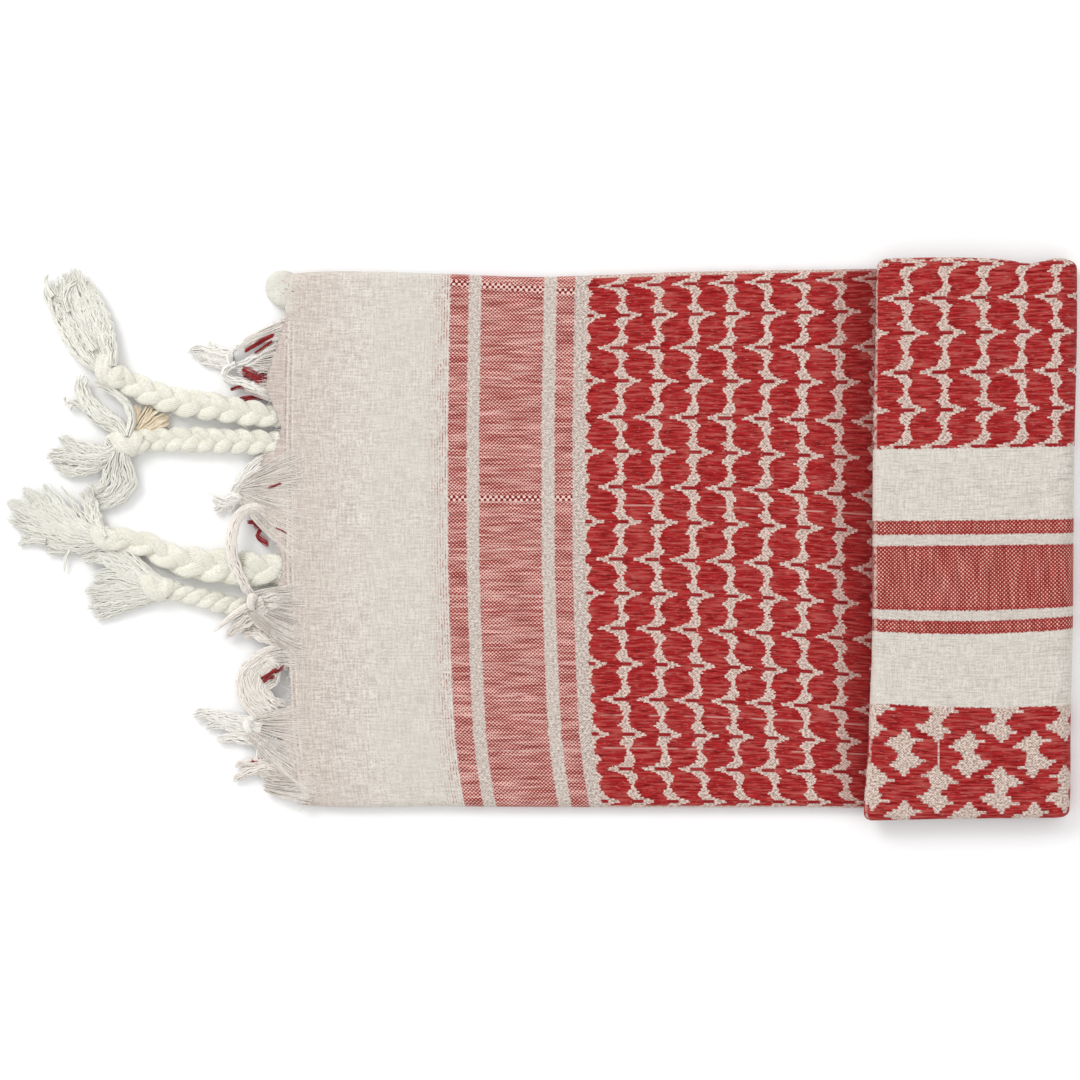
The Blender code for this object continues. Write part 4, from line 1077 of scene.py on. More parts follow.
def knot_heart(out, place, ahead):
    """What fills a knot and comes out of its mouth into the tuft, under the yarns."""
    z, width, height = place[2:]
    ahead = level(ahead)
    run = np.linspace(-1.5, 11.0, 12)
    middle = place[:3] + run[:, None] * ahead
    middle[:, 2] = np.interp(run, [0, 11], [z, 0.72 * z])
    share = np.interp(run, [-1.5, 2.5, 7.0, 11.0], [0.78, 0.8, 0.52, 0.2])
    for across in (-0.35, 0.0, 0.35):
        side = np.cross(ahead, UP) * across * (width + height) / 2
        out.add((middle + side)[None], share * (1 - 0.5 * abs(across)) * height)


# Locks of loose yarn, each along a line of the photo: its half width at its root, middle and end,
# in pixels, how high it lies along it, how many yarns it has and how crimped they are
LOCK = "points widths high count crimp"
TUFTS = {
    "tassel_1": table(LOCK, [
        ([(106, 369), (94, 364), (79, 350), (67, 330), (58, 308), (54, 282)],
         (6, 9, 9), (5.5, 3.8), 150, 0.35),
        ([(107, 368), (97, 356), (84, 336), (72, 312), (65, 292), (66, 272)],
         (7, 11, 9), (6.4, 5.0), 190, 0.5),
        ([(109, 368), (103, 352), (94, 330), (86, 306), (79, 286), (74, 267)],
         (7, 10, 8), (6.4, 5.4), 180, 0.5),
        ([(112, 366), (112, 350), (106, 330), (97, 308), (87, 288), (84, 276)],
         (5, 8, 7), (6.8, 5.2), 130, 0.85),
        ([(96, 350), (84, 332), (72, 314), (62, 300), (54, 296)], (4, 5, 3), (8.4, 6.4), 44, 0.5),
        ([(70, 312), (66, 298), (70, 286), (80, 280)], (4, 4, 2), (7.0, 6.2), 30, 0.3),
        ([(54, 296), (48, 287), (45, 279), (49, 273)], (3, 2, 1), (4.4, 3.6), 16, 0.2),
        ([(60, 320), (52, 306), (46, 296), (44, 286)], (4, 4, 3), (3.6, 3.0), 40, 0.4),
    ]),
    "tassel_2": table(LOCK, [
        ([(126, 436), (118, 424), (102, 415), (88, 402), (81, 388), (84, 374)],
         (5, 8, 6), (6.6, 4.6), 130, 0.5),
        ([(122, 436), (110, 426), (94, 416), (80, 404), (66, 402)], (4, 6, 3), (5.4, 3.4), 70, 0.4),
        ([(128, 436), (132, 418), (127, 404), (114, 392), (100, 385), (92, 382)],
         (3, 3.5, 3), (7.2, 6.0), 50, 0.3),
        ([(72, 407), (66, 404), (63, 399), (66, 396)], (3, 2, 1.5), (3.6, 3.0), 18, 0.2),
        ([(120, 445), (104, 452), (88, 448), (72, 444), (57, 434)], (5, 6, 4), (6.0, 4.0), 80, 0.6),
        ([(120, 447), (100, 457), (82, 458), (64, 456), (45, 457)], (6, 7, 7), (5.4, 3.8), 110, 0.6),
        ([(119, 449), (102, 462), (84, 470), (70, 471), (52, 463)], (5, 6, 4), (4.6, 3.0), 80, 0.7),
        ([(124, 448), (127, 466), (131, 482), (122, 496), (104, 505), (94, 507)],
         (6, 6, 4), (6.0, 3.4), 110, 0.5),
        ([(120, 450), (117, 470), (117, 486), (108, 496), (92, 500)], (6, 7, 5), (5.4, 3.0), 90, 0.6),
        ([(116, 452), (108, 470), (104, 484), (95, 491), (85, 483)], (4, 4, 3), (5.0, 3.2), 50, 0.5),
        ([(122, 442), (113, 438), (108, 441), (111, 447), (118, 448)], (4, 4, 4), (7.4, 6.6), 40, 0.2),
    ]),
    "tassel_3": table(LOCK, [
        ([(106, 537), (96, 522), (90, 505), (84, 488)], (4, 7, 6), (6.2, 4.8), 110, 0.7),
        ([(104, 536), (84, 518), (70, 500), (59, 486)], (2, 3, 2), (6.4, 4.2), 34, 0.5),
        ([(106, 538), (80, 527), (60, 508), (42, 484)], (4, 8, 6), (6.0, 4.0), 130, 0.5),
        ([(106, 539), (74, 528), (46, 510), (22, 487)], (5, 9, 7), (5.6, 3.8), 150, 0.5),
        ([(106, 540), (70, 533), (38, 516), (5, 500)], (5, 9, 6), (5.2, 3.4), 130, 0.5),
        ([(106, 541), (70, 539), (38, 529), (6, 517)], (5, 8, 6), (4.8, 3.2), 110, 0.5),
        ([(106, 543), (72, 545), (44, 540), (18, 536)], (4, 7, 6), (4.4, 2.8), 90, 0.5),
        ([(104, 545), (84, 549), (64, 549), (44, 553)], (3, 5, 4), (4.0, 2.6), 60, 0.5),
        ([(46, 541), (34, 540), (24, 542), (17, 547)], (4, 4, 3), (3.0, 2.4), 30, 0.3),
        ([(70, 549), (66, 556), (64, 565), (65, 574)], (1.5, 1.2, 1.2), (3.0, 2.0), 9, 0.3),
    ]),
    "tassel_4": table(LOCK, [
        ([(166, 586), (148, 574), (128, 556), (106, 542), (84, 549)], (5, 7, 5), (5.6, 4.0), 110, 0.35),
        ([(166, 587), (144, 578), (120, 566), (98, 556), (80, 560)], (5, 9, 8), (5.4, 4.2), 150, 0.35),
        ([(166, 588), (140, 584), (118, 578), (92, 578)], (5, 9, 8), (5.2, 4.0), 140, 0.35),
        ([(166, 589), (140, 590), (112, 592), (84, 592)], (5, 9, 8), (5.0, 3.6), 140, 0.35),
        ([(166, 590), (140, 598), (112, 603), (86, 607)], (5, 8, 7), (4.6, 3.2), 120, 0.35),
        ([(166, 592), (142, 602), (118, 610), (92, 619)], (4, 5, 5), (4.0, 2.4), 80, 0.35),
    ]),
}
BEIGE_LOCKS = table(LOCK, [
    ([(133, 431), (134, 420), (136, 411), (138, 405)], (4, 4, 5), (4.0, 5.0), 60, 0.2),
    ([(135, 431), (142, 420), (147, 412), (151, 406)], (4, 4, 5), (4.0, 4.6), 60, 0.2),
    ([(137, 431), (148, 422), (156, 415), (163, 411)], (4, 4, 5), (4.0, 4.2), 60, 0.2),
    ([(139, 432), (152, 426), (162, 420), (169, 416)], (3, 4, 4), (3.8, 3.6), 50, 0.2),
    ([(141, 432), (153, 430), (162, 427), (170, 424)], (3, 3, 3), (3.4, 3.0), 40, 0.2),
])
FRINGE_LOCKS = {
    "upper_fringe": table(LOCK, [
        ([(290, 321), (266, 332), (248, 342), (232, 352)], (6, 3.5, 4), (4.6, 4.9, 4.2), 100, 0.25),
        ([(290, 336), (272, 347), (256, 358), (240, 366), (231, 366)], (5, 4.5, 4), (4.4, 5.2, 4.6), 80, 0.3),
        ([(233, 354), (222, 351), (214, 347), (209, 340)], (4, 3.5, 2), (4.6, 3.4), 50, 0.45),
        ([(233, 357), (216, 354), (200, 350), (186, 352)], (5, 6, 3), (4.4, 3.0), 80, 0.45),
        ([(233, 361), (218, 359), (206, 357), (195, 357)], (5, 5, 4), (3.8, 2.6), 60, 0.45),
        ([(233, 367), (222, 365), (210, 362), (200, 363)], (4, 4.5, 3), (3.4, 2.4), 50, 0.45),
    ]),
    "upper_loop_fringe": table(LOCK, [
        ([(286, 394), (266, 391), (250, 385), (238, 381), (228, 378)], (5, 4, 4), (4.2, 4.8, 3.6), 80, 0.3),
        ([(236, 364), (227, 368), (224, 375), (230, 380), (242, 379)], (3, 3.5, 3), (5.2, 4.0), 50, 0.25),
        ([(284, 362), (264, 368), (250, 371), (236, 372)], (4, 3, 3), (4.2, 4.6), 44, 0.35),
    ]),
    "middle_fringe": table(LOCK, [
        ([(286, 456), (266, 461), (250, 474), (240, 487), (232, 498)],
         (8, 8, 6), (4.0, 4.6, 5.0, 4.8), 150, 0.3),
        ([(286, 484), (264, 485), (250, 490), (238, 498)], (14, 10, 5), (3.8, 4.2, 4.8), 110, 0.3),
        ([(286, 520), (268, 512), (254, 502), (244, 496)], (12, 8, 5), (3.8, 4.0, 4.6), 80, 0.3),
        ([(240, 494), (228, 502), (220, 503), (212, 499)], (6, 5.5, 3), (4.6, 3.4), 60, 0.45),
        ([(238, 498), (226, 504), (220, 508), (213, 512)], (6, 4.5, 3), (4.0, 2.8), 50, 0.45),
        ([(238, 500), (232, 506), (229, 513)], (4, 4, 3), (3.6, 2.6), 30, 0.4),
        ([(228, 501), (216, 496), (203, 491)], (1.5, 1.2, 0.8), (4.2, 3.2), 12, 0.2),
    ]),
    "crossing_fringe": table(LOCK, [
        ([(266, 506), (250, 508), (239, 517), (234, 532), (233, 550), (238, 570), (247, 586), (254, 598)],
         (5, 5.5, 5), (4.6, 6.0, 10.4, 13.2, 13.4, 13.0, 12.4), 140, 0.3),
    ]),
    "knotted_fringe": table(LOCK, [
        ([(288, 598), (272, 600), (258, 602)], (12, 9, 5), (5.0, 10.0, 11.4), 120, 0.35),
        ([(288, 626), (268, 622), (252, 617), (238, 622)], (10, 9, 5), (4.6, 8.6, 7.4), 120, 0.45),
        ([(288, 642), (268, 636), (252, 631), (241, 635)], (8, 8, 5), (4.2, 6.4, 5.0), 100, 0.5),
        ([(264, 600), (246, 608), (230, 619), (213, 632)], (4, 3, 1.5), (11.8, 10.4, 6.0), 44, 0.3),
        ([(266, 606), (250, 618), (236, 628), (225, 638)], (6, 7, 3), (11.0, 8.6, 5.0), 80, 0.5),
    ]),
    "loop_fringe": table(LOCK, [
        ([(288, 649), (270, 652), (255, 662), (244, 678), (245, 696), (255, 711), (272, 719), (288, 716)],
         (6, 7, 6), (4.6, 5.6, 5.2, 4.6, 4.4), 130, 0.45),
        ([(290, 658), (272, 657), (258, 667), (252, 684), (254, 700), (266, 712), (284, 714)],
         (5, 6, 6), (4.4, 6.0, 5.6, 5.0, 4.4), 110, 0.5),
        ([(290, 664), (276, 662), (266, 672), (262, 684), (266, 697), (276, 706), (290, 710)],
         (7, 7, 8), (4.4, 6.2, 6.0, 5.2, 4.4), 130, 0.5),
        ([(268, 660), (276, 668), (272, 682), (264, 690), (258, 702)], (4, 6, 4), (6.6, 6.4, 5.0), 60, 0.6),
        ([(246, 676), (250, 690), (262, 704), (278, 716)], (5, 5, 4), (5.6, 6.2, 4.6), 60, 0.5),
    ]),
    "lower_fringe": table(LOCK, [
        ([(262, 728), (242, 722), (220, 717), (204, 714), (191, 717)],
         (7, 6.5, 5), (5.6, 4.4, 3.2), 130, 0.4),
        ([(260, 732), (240, 730), (220, 724), (202, 728)], (6, 5, 4), (4.8, 3.8, 2.6), 80, 0.45),
        ([(268, 740), (248, 739), (232, 738), (216, 742)], (7, 6, 4), (4.8, 3.6, 2.6), 90, 0.45),
        ([(298, 757), (276, 749), (260, 741), (246, 733)], (13, 12, 7), (3.8, 4.4, 4.8), 190, 0.45),
        ([(292, 738), (274, 734), (258, 729)], (12, 9, 6), (3.8, 4.8, 5.2), 120, 0.4),
        ([(276, 736), (266, 744), (262, 754), (268, 764)], (5, 6, 5), (5.4, 5.0, 4.2), 60, 0.5),
    ]),
    "bottom_fringe": table(LOCK, [
        ([(280, 767), (258, 763), (246, 765), (234, 767)], (7, 5.5, 4.5), (5.0, 4.2, 3.0), 80, 0.45),
        ([(266, 768), (250, 772), (241, 776), (232, 782)], (5, 4.5, 2.5), (4.4, 3.4, 2.6), 50, 0.45),
        ([(302, 778), (284, 775), (268, 771), (254, 766)], (11, 10, 6), (3.8, 5.0, 4.2), 150, 0.45),
        ([(308, 791), (291, 790), (280, 788), (268, 779)], (6, 9.5, 8), (3.4, 4.4, 3.8), 140, 0.45),
    ]),
}
WARM_FRINGE = ("crossing_fringe", "knotted_fringe", "loop_fringe", "bottom_fringe")
# Turns that tie the fringe: where, half how wide and high, and the way the bundle runs
FRINGE_KNOTS = table("node px py z width height ahead yarns", [
    ("upper_fringe", 231, 360, 4.2, 5.0, 2.9, (-1.0, 0.12), 6),
    ("middle_fringe", 238, 495, 4.4, 3.4, 2.6, (-0.75, -0.6), 6),
    ("knotted_fringe", 254, 602, 12.0, 4.4, 3.2, (-0.8, 0.5), 11),
    ("lower_fringe", 250, 727, 5.0, 4.2, 3.2, (-1.0, 0.2), 11),
])
# Threads that the hem's gathers draw in, from between two heights at the hem to a point
GATHERS = table("top bottom apex spread z count", [
    (316, 340, (250, 343), 3.0, 4.6, 70), (338, 378, (256, 362), 5.0, 4.8, 80),
    (376, 410, (252, 386), 4.0, 4.4, 70), (448, 560, (246, 492), 8.0, 5.4, 260),
    (584, 654, (254, 604), 9.0, 11.4, 190), (640, 668, (264, 656), 5.0, 5.6, 60),
    (704, 796, (256, 729), 9.0, 5.8, 220), (768, 804, (270, 783), 9.0, 5.0, 110),
])
# Ends of the lower layers' red yarns that show between the bundles
RED_YARNS = table("points count spread z", [
    ([(274, 335), (264, 340), (256, 345), (246, 351)], 16, 1.6, 7.2),
    ([(272, 342), (264, 347), (256, 353)], 9, 1.0, 7.0),
    ([(268, 384), (260, 380), (252, 375), (243, 370)], 20, 3.4, 6.0),
    ([(268, 374), (260, 375), (252, 376), (244, 374)], 14, 3.0, 4.6),
    ([(268, 396), (252, 390), (242, 386), (231, 389)], 10, 1.6, 3.6),
    ([(264, 396), (254, 397), (245, 398), (236, 401)], 12, 1.8, 3.2),
    ([(252, 516), (260, 518), (254, 524), (262, 528), (257, 536), (268, 544)], 20, 2.8, 4.2),
    ([(248, 522), (256, 522), (262, 520)], 8, 1.6, 4.4),
    ([(281, 484), (275, 486), (269, 488)], 3, 1.2, 8.0),
    ([(287, 533), (282, 531), (276, 528)], 2, 1.0, 8.2),
    ([(277, 669), (270, 674), (262, 678)], 8, 1.2, 8.6),
    ([(274, 677), (268, 679), (264, 682)], 6, 1.0, 8.4),
    ([(284, 668), (278, 672), (272, 672)], 5, 1.4, 8.6),
    ([(262, 757), (256, 762), (252, 761)], 6, 1.2, 5.0),
])
TUFT_SIZE, BEIGE_SIZE, FRINGE_SIZE = 0.37, 0.36, 0.31  # of the yarns
TUFT_ROOT, YARN_ROOT = 4.2, 2.0  # how deep a lock is at its root
LOCK_STEP, LOCK_CEILING = 2.6, 15.2


def lock_strands(out, lock, seed, size, ragged=0.3, root=YARN_ROOT):
    """The yarns of a lock: side by side at its root, drawn into finer ones that end unevenly."""
    rng = np.random.default_rng(seed)
    rows = photo_points(lock.points)[:, :2]
    at = lengths_along(rows)
    count, points = lock.count, max(7, round(at[-1] / LOCK_STEP))
    reach = 1 - ragged * rng.beta(1.1, 2.4, count)
    reach[: count // 12] += rng.uniform(0, 0.06, count // 12)
    place = rng.uniform(-1, 1, count)[:, None]
    t = np.linspace(0, 1, points) * (reach[:, None] - 0.08 * place**2)
    run = t * at[-1]
    line = smooth(at, rows, run)
    deep = np.sqrt(1 - place**2) * rng.uniform(-0.3, 1, count)[:, None]
    groups = max(3, count // 9)
    centre = np.sort(rng.uniform(-1, 1, groups))
    mine = np.argmin(np.abs(place - centre), axis=1)
    across = place + (centre[mine][:, None] - place) * 0.75 * t
    phase = rng.uniform(0, 2 * math.pi, groups)[mine] + rng.normal(0, 0.45, count)
    pitch = rng.uniform(5.4, 9.0, groups)[mine]
    phase, pitch = phase[:, None], pitch[:, None]
    wave = np.sin(2 * math.pi * run / pitch + phase) + 0.9 * np.sin(run / 5.2 + 2.0 * phase)
    wave = lock.crimp * wave * np.clip(3 * t, 0, 1)
    width = np.interp(t, [0, 0.5, 1], lock.widths) * PX
    line = line + (across * width + wave)[..., None] * left_of(line)
    heights = np.linspace(0, 1, len(lock.high)), lock.high
    z = np.interp(t, *heights) + deep * np.interp(t, [0, 0.4, 1], [root, 1.4, 0.9])
    z = z + 0.4 * lock.crimp * np.cos(2 * math.pi * run / pitch * 0.8 + phase)
    paths = np.concatenate([line, np.clip(z, YARN_FLOOR, LOCK_CEILING)[..., None]], axis=-1)
    fade = np.interp(np.linspace(0, 1, points), [0, 0.7, 1], [1, 0.95, 0.5])
    out.add(paths, size * fade * rng.uniform(0.8, 1.2, count)[:, None])
    if count > 30:
        # what fills the lock below them
        t = np.linspace(0, 0.9, points)
        line = smooth(at, rows, t * at[-1])
        cores = max(1, round(max(lock.widths) / 2.2))
        place = np.linspace(-0.72, 0.72, cores) if cores > 1 else np.zeros(1)
        width = np.interp(t, [0, 0.5, 1], lock.widths) * PX
        line = line + (place[:, None] * width)[..., None] * left_of(line)
        z = np.broadcast_to(np.maximum(np.interp(t, *heights) - 0.6, 1.0), line.shape[:2])
        thick = np.interp(t, [0, 0.5, 0.9], [1.1, 1.25, 0.5]) * min(1.0, max(lock.widths) / 4)
        out.add(np.concatenate([line, z[..., None]], axis=-1), thick)


def gather_strands(out, gather, rng):
    """Threads from the hem that are drawn in to a bundle's root."""
    count = gather.count
    share = np.sort(rng.uniform(0, 1, count))
    y = (MIDDLE_PX[1] - (gather.top + (gather.bottom - gather.top) * share)) * PX
    inset = rng.gamma(2.0, 1.5, count)
    ax, ay, az = photo_points([gather.apex], gather.z)[0]
    fan = (1 - 2 * share) * gather.spread * PX
    start = np.stack([hem_at(y) + inset, y, np.full(count, LOW_Z + OUTER + 0.25)], axis=-1)
    end_x = ax + rng.uniform(-4, 1, count)
    end_y = ay + fan + rng.normal(0, 0.3, count)
    end = np.stack([end_x, end_y, az + rng.uniform(-1.2, 1.0, count)], axis=-1)
    first = start + np.stack([-inset - 3.0, (ay - y) * 0.12, np.full(count, 0.35)], axis=-1)
    second = end + np.stack([np.full(count, 5.0), (y - ay) * 0.3, np.full(count, 0.9)], axis=-1)
    t = np.linspace(0, 1, 10)[:, None]
    start, first, second, end = (p[:, None] for p in (start, first, second, end))
    paths = start * (1 - t) ** 3 + first * 3 * t * (1 - t) ** 2 + second * 3 * t**2 * (1 - t) + end * t**3
    wave = np.sin(6 * t + rng.uniform(0, 6, (count, 1, 1))) * [0, 0.25, 0.08]
    out.add(paths + wave * t * (1 - t) * 3, rng.uniform(0.14, 0.28, count)[:, None])


WARP_ENDS, WARP_END_POINTS, WARP_END_DROP, WARP_END_SIZE = 900, 6, 2.5, 0.16
RED_POINTS, RED_SIZE = 14, 0.36


def hem_strands():
    """Short warp ends along the hem, between the bundles, and the threads that it gathers."""
    out = Strands(3)
    rng = np.random.default_rng(5)
    y = rng.uniform(-137, 124, WARP_ENDS)
    out_to = drawn_out(y)
    x = hem_at(y) - out_to + rng.uniform(0.0, 2.0, WARP_ENDS)
    z = OUTER + LOW_Z - 0.01 * out_to * out_to.clip(0, 8) + rng.uniform(-0.6, 0.25, WARP_ENDS)
    turn = rng.normal(0, 0.55, WARP_ENDS)[:, None, None]
    lengths = rng.gamma(2.0, 0.9, WARP_ENDS)[:, None] + 1.0
    bends = np.random.default_rng(6)
    t = np.linspace(0, 1, WARP_END_POINTS)
    bend = bends.normal(0, 0.35, (WARP_ENDS, 1)) * t**2
    wave = np.sin(bends.uniform(2, 7, (WARP_ENDS, 1)) * t + bends.uniform(0, 6, (WARP_ENDS, 1)))
    aside = bend * lengths + 0.6 * (wave - wave[:, :1]) * t
    heading = np.concatenate([-np.cos(turn), np.sin(turn), 0 * turn], axis=-1)
    side = np.concatenate([-np.sin(turn), -np.cos(turn), 0 * turn], axis=-1)
    paths = np.stack([x, y, z], axis=-1)[:, None] + (lengths * t)[..., None] * heading
    paths = paths + aside[..., None] * side
    paths[..., 2] = np.maximum(paths[..., 2] - WARP_END_DROP * t**1.5, HAIR_FLOOR)
    out.add(paths, WARP_END_SIZE * np.interp(t, [0, 1], [1, 0.5]))
    for gather in GATHERS:
        gather_strands(out, gather, rng)
    return out


def red_yarns():
    out = Strands(3)
    rng = np.random.default_rng(11)
    for yarn in RED_YARNS:
        rows = photo_points(yarn.points, yarn.z)
        s = np.linspace(0, len(rows) - 1, RED_POINTS)
        each = (yarn.count, 1, 1)
        offset = rng.normal(0, 0.5, (yarn.count, 1, 3)) * [0.6, yarn.spread * PX * 1.3, 0.4]
        wave = 0.22 * np.sin(s[:, None] * rng.uniform(1.5, 4, each) + rng.uniform(0, 6, each))
        paths = smooth(np.arange(len(rows)), rows, s) + offset + wave * [0.4, 1.0, 0.4]
        paths[..., 2] = np.maximum(paths[..., 2], YARN_FLOOR)
        out.add(paths, RED_SIZE * np.interp(s, [0, s[-1]], [1, 0.7]))
    return out


# The corner's cloth, gathered up into a soft knob: its outline in the photo's pixels
KNOB = [
    (300, 277), (292, 272), (283, 270), (275, 271.5), (269, 276), (265.6, 284), (265.8, 292), (269, 299),
    (275, 304.5), (283, 308), (291, 314), (300, 318),
]
KNOB_MIDDLE = np.array([283, 291])
KNOB_ROUNDS = [0.003, 0.2, 0.34, 0.48, 0.62, 0.75, 0.86, 0.94, 0.985, 1.0]  # from there to it
KNOB_AROUND = 64


def corner_knob(material):
    """Rings from the middle of its top, out to its edge, and in to the middle of its underside."""
    loop = np.array(KNOB + KNOB[:1])
    at = lengths_along(loop)
    edge = smooth(at, loop, np.linspace(0, at[-1], KNOB_AROUND + 1)[:-1])
    rings = []
    for top, rounds in ((1, KNOB_ROUNDS), (-1, KNOB_ROUNDS[-2::-1])):
        for r in rounds:
            x, y = (KNOB_MIDDLE + (edge - KNOB_MIDDLE) * r).T
            high = math.sqrt(1 - r**2.6) * np.interp(x, [265, 285, 300], [3.3, 3.4, 2.6])
            fold = 0.5 * np.sin((x * 0.5 + y) / 4.6) + 0.3 * np.sin((x - y * 0.6) / 3.1)
            z = np.interp(x, [265, 300], [4.2, 4.6]) + top * high + max(top, 0) * 0.9 * fold * high / 3.4
            rings.append(np.stack([x, y, np.maximum(z, 0.3)], axis=-1))
    points = np.concatenate(rings)
    faces = ring_faces(np.arange(len(points)).reshape(len(rings), KNOB_AROUND))[:, ::-1]
    bake = ring_map(len(rings), KNOB_AROUND).reshape(-1, 4, 2)[:, ::-1]
    maps = cloth_maps(bake, points[:, :2].T, np.full((2, len(points)), 0.5), faces)
    return fill_mesh("corner_knob", photo_points(points[:, :2], points[:, 2]), faces, maps, material)


# ---------------------------------------------------------------- the layers below

FLAT_SHARES = np.linspace(0, 1, 15)[1:-1, None]
# The stack's own places along the hem, where its end is rounded, and how much of its height
# each of them has
HEM_STEPS = [(0.8, 0.34), (0.85, 0.66), (2.2, 0.67), (2.25, 0.99), (4.0, 1.0)]
# How far in from the long edges the layers' folds lie, from the floor up
FAR_INSETS, NEAR_INSETS = (2.4, 1.5, 2.3), (2.6, 1.7, 2.1, 1.5, 2.2, 1.9)


def folds(half, insets, steps, bulge):
    """Round folds over each other: how far in they are, and how high over the stack's middle."""
    places = [(i, u) for i in range(len(insets)) for u in np.arange(steps) / steps]
    out = []
    for i, u in places + [(len(insets) - 1, 1.0)]:
        inset = insets[i] + bulge * (1 - math.sin(math.pi * u))
        out.append((inset, -half + (i + u) * 2 * half / len(insets)))
    return np.array(out)


def between(a, b):
    """The flat of the stack's top or bottom, from one side's folds to the other's."""
    return a * (1 - FLAT_SHARES) + b * FLAT_SHARES


def layers_grid():
    """Rings round the stack of hidden layers: along under the strip, round the bend and back."""
    full = HIDDEN / 2
    stations = [(HEM_X + step, 0.0, full * share, full * (share - 1)) for step, share in HEM_STEPS]
    stations += [(x, 0.0, full, 0.0) for x in np.linspace(HEM_X + 6, BEND_X, 110)]
    bend = np.radians(np.linspace(12, 168, 12))
    stations += [(BEND_X + BEND_RADIUS * math.sin(b), b, full, 0.0) for b in bend]
    stations += [(x, math.pi, full, 0.0) for x in np.linspace(BEND_X, FOLD_X, 36)]
    for b in np.radians([30, 50, 65, 78]):
        stations.append((FOLD_X + 0.3 - full * math.sin(b), math.pi, full * math.cos(b), 0.0))
    rings, paths = [], []
    for x, angle, half, shift in stations:
        low = edges_at(STRIP_EDGES, min(x, BEND_X))
        ends = zip(low, edges_at(TURNED_EDGES, x))
        far, near = (a + (b - a) * angle / math.pi for a, b in ends)
        draw = (full - half) * 1.6
        far_ring = [far - draw, 0] - folds(half, FAR_INSETS, 6, 1.24) * [1, -1]
        near_ring = ([near + draw, 0] + folds(half, NEAR_INSETS, 4, 0.5))[::-1]
        top, bottom = between(far_ring[-1], near_ring[0]), between(near_ring[-1], far_ring[0])
        y, n = np.concatenate([far_ring, top, near_ring, bottom]).T
        n = n + shift
        hem = max(0, 1 - (x - HEM_X) / HEM_SLANT_REACH)
        on_top = angle == math.pi
        fold = min(1, (BEND_X - x) / (BEND_X - FOLD_X)) if on_top else 0
        bend = 1 - fold if angle else max(0, (x - TURN_FROM_X) / (BEND_X - TURN_FROM_X))
        slant = hem * slant_at(y, "hem") + bend * slant_at(y, "bend") + fold * slant_at(y, "fold")
        z = BEND_Z - BEND_RADIUS * math.cos(angle) + n * math.cos(angle)
        rings.append(np.stack([x - n * math.sin(angle) + slant, y, z], axis=-1))
        paths.append(BEND_X + angle * BEND_RADIUS + (BEND_X - x) * on_top if angle else x)
    caps = []
    for end in (rings[0], rings[-1]):
        cap = end.copy()
        cap[:, 2] = end[:, 2].mean()
        caps.append(cap)
    return np.array([caps[0], *rings, caps[1]]), np.array([paths[0], *paths, paths[-1]])


def layered_cloth(material):
    rings, paths = layers_grid()
    rows, columns = rings.shape[:2]
    # each face starts a corner later than a ring's own, for the way that it is cut in two
    faces = np.roll(ring_faces(np.arange(rows * columns).reshape(rows, columns)), -1, axis=1)
    bake = np.roll(ring_map(rows, columns).reshape(-1, 4, 2), -1, axis=1)
    y, z = rings[..., 1], rings[..., 2]
    px, py = photo_pixels(paths[:, None] + 0 * y, y + 0.8 * (z - LOW_Z) * np.sign(y))
    maps = cloth_maps(bake, *strip_threads(px, py), faces)
    return fill_mesh("layered_cloth", rings.reshape(-1, 3), faces, maps, material)


# ---------------------------------------------------------------- the scene

wave, star = wave_figure(), star_figure()
strip_finish = strip_material(wave)
turned_finish = turned_material(wave, star)
cream_yarn = yarn_material("tassel_cotton", (0.90, 0.89, 0.81, 1), (0.76, 0.74, 0.64, 1))
tuft_yarn = yarn_material("tuft_cotton", (0.93, 0.92, 0.855, 1), (0.83, 0.815, 0.735, 1))
beige_yarn = yarn_material("beige_cotton", rgb(255, 246, 222), rgb(240, 220, 188))
white_yarn = yarn_material("fringe_cotton", (0.975, 0.96, 0.915, 1), (0.94, 0.905, 0.845, 1))
hem_yarn = yarn_material("hem_cotton", rgb(252, 247, 240), rgb(236, 226, 216))
warm_yarn = yarn_material("warm_cotton", (0.97, 0.93, 0.875, 1), (0.88, 0.81, 0.74, 1))
red_yarn = yarn_material("red_yarn", rgb(180, 24, 34), rgb(128, 8, 18))

grid, px, py = strip_grid()
strip = cloth_shell("strip_cloth", grid, *strip_threads(px, py), strip_finish)
grid, px, py = turned_grid()
turned = cloth_shell("turned_cloth", grid, *turned_threads(px, py), turned_finish)
layers = layered_cloth(strip_finish)
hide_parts("main_stretch")
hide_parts("turned_stretch")
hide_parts("folded_layers")

for number, tassel in enumerate(TASSELS):
    places = rooted(tassel)
    before, knot, after = places[-3:]
    ahead = after - before
    plait = Strands(4)
    plait_strands(plait, tassel, places[:-1])
    tie(plait, knot, ahead, -0.55, 13, shift=-2.4, share=0.86)
    tie(plait, knot, ahead, 0.9, 15, shift=1.0)
    plait = plait.finish(tassel.node + "_plait", cream_yarn)
    tuft = Strands(3)
    for place, lock in enumerate(TUFTS[tassel.node]):
        fuller = lock._replace(count=round(lock.count * 1.05))
        lock_strands(tuft, fuller, 100 * number + place, TUFT_SIZE, root=TUFT_ROOT)
    knot_heart(tuft, knot, ahead)
    tuft = tuft.finish(tassel.node + "_tuft", tuft_yarn)
    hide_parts(tassel.node)
beige = Strands(3)
for place, lock in enumerate(BEIGE_LOCKS):
    lock_strands(beige, lock, 700 + place, BEIGE_SIZE, ragged=0.15)
beige.finish("beige_ends", beige_yarn)

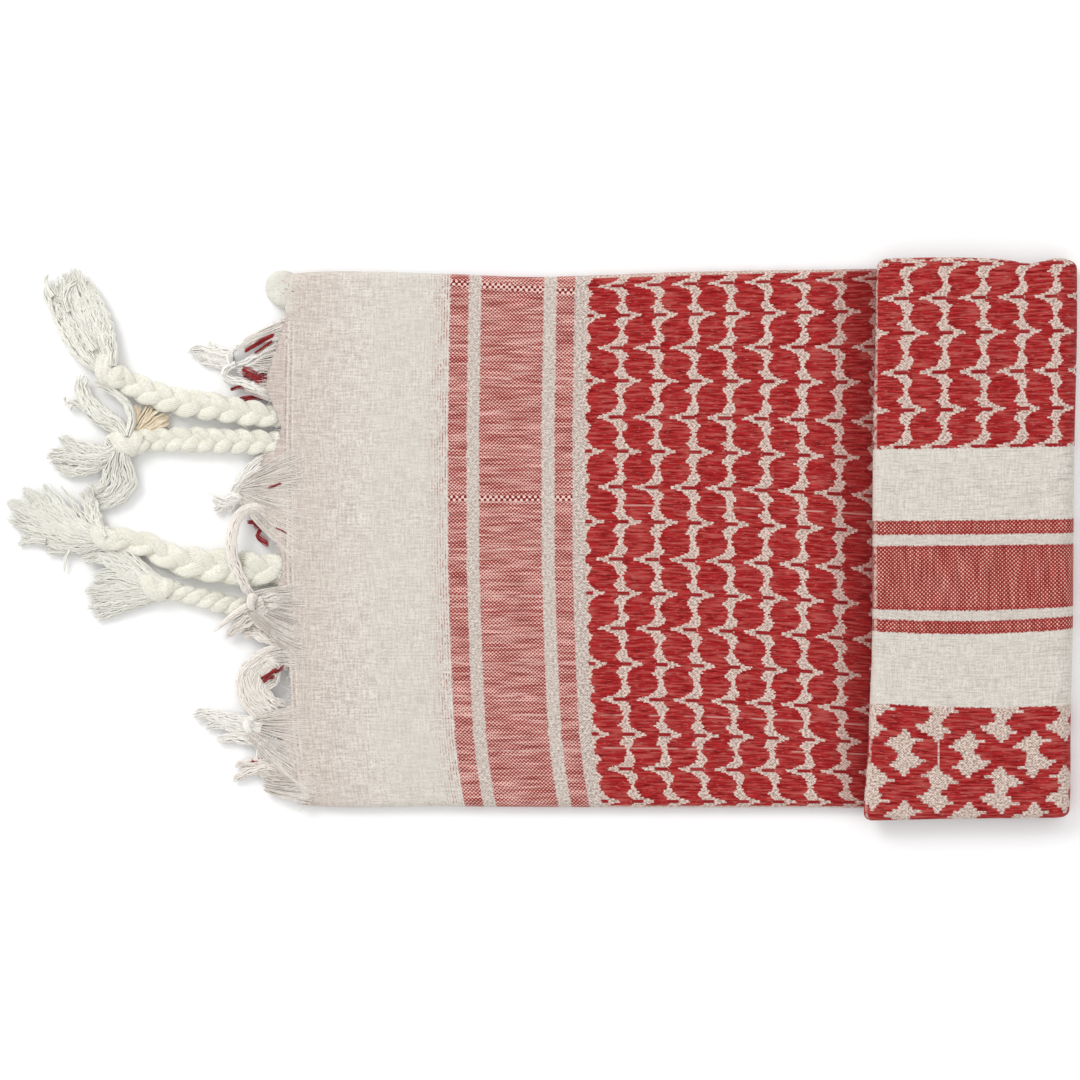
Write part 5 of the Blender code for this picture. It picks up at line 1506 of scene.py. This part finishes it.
knob = corner_knob(strip_finish)
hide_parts("corner_fringe")
for number, (node, locks) in enumerate(FRINGE_LOCKS.items()):
    yarns = Strands(3)
    for place, lock in enumerate(locks):
        lock_strands(yarns, lock, 800 + 20 * number + place, FRINGE_SIZE)
    for k in FRINGE_KNOTS:
        if k.node == node:
            spot = np.array([*photo_points([(k.px, k.py)], k.z)[0], k.width, k.height])
            tie(yarns, spot, k.ahead, 0.7, k.yarns, radius=0.3)
    yarns = yarns.finish(node + "_yarns", warm_yarn if node in WARM_FRINGE else white_yarn)
    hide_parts(node)

hem = hem_strands().finish("hem_ends", hem_yarn)
reds = red_yarns().finish("red_ends", red_yarn)

scene = bpy.context.scene
floor_mesh = bpy.data.meshes.new("floor")
floor_mesh.from_pydata([(-4, -4, 0), (4, -4, 0), (4, 4, 0), (-4, 4, 0)], [], [(0, 1, 2, 3)])
floor_material, _, shader = start_material("floor", 0.95)
shader.inputs["Base Color"].default_value = (0.97, 0.97, 0.97, 1)
shader.inputs["Specular IOR Level"].default_value = 0.0
floor_mesh.materials.append(floor_material)
floor = bpy.data.objects.new("floor", floor_mesh)
floor.location.z = -0.0003
scene.collection.objects.link(floor)

world = bpy.data.worlds.new("studio")
world.use_nodes = True
sky = world.node_tree.nodes["Background"]
sky.inputs["Color"].default_value = (1, 1, 1, 1)
sky.inputs["Strength"].default_value = 0.92
scene.world = world

KEY_PLACE, KEY_SIZE, KEY_POWER = (-1.4, 1.5, 1.9), 1.2, 30
key_light = bpy.data.lights.new("key", "AREA")
key_light.shape, key_light.size, key_light.energy = "SQUARE", KEY_SIZE, KEY_POWER
key = bpy.data.objects.new("key", key_light)
key.location = KEY_PLACE
key.rotation_mode = "QUATERNION"
key.rotation_quaternion = (-Vector(KEY_PLACE)).to_track_quat("-Z", "Y")
scene.collection.objects.link(key)

CAMERA_HEIGHT, FOCUS_HEIGHT, FILM = 2.4, 0.008, 36
camera = bpy.data.objects.new("camera", bpy.data.cameras.new("camera"))
camera.data.lens = FILM * (CAMERA_HEIGHT - FOCUS_HEIGHT) / (PHOTO_SIDE * PX * MM)
camera.data.clip_start, camera.data.clip_end = 0.1, 20
camera.location = (-0.5 * PX * MM + SHIFT[0] * MM, SHIFT[1] * MM, CAMERA_HEIGHT)
scene.collection.objects.link(camera)
scene.camera = camera
scene.view_settings.view_transform = "Standard"
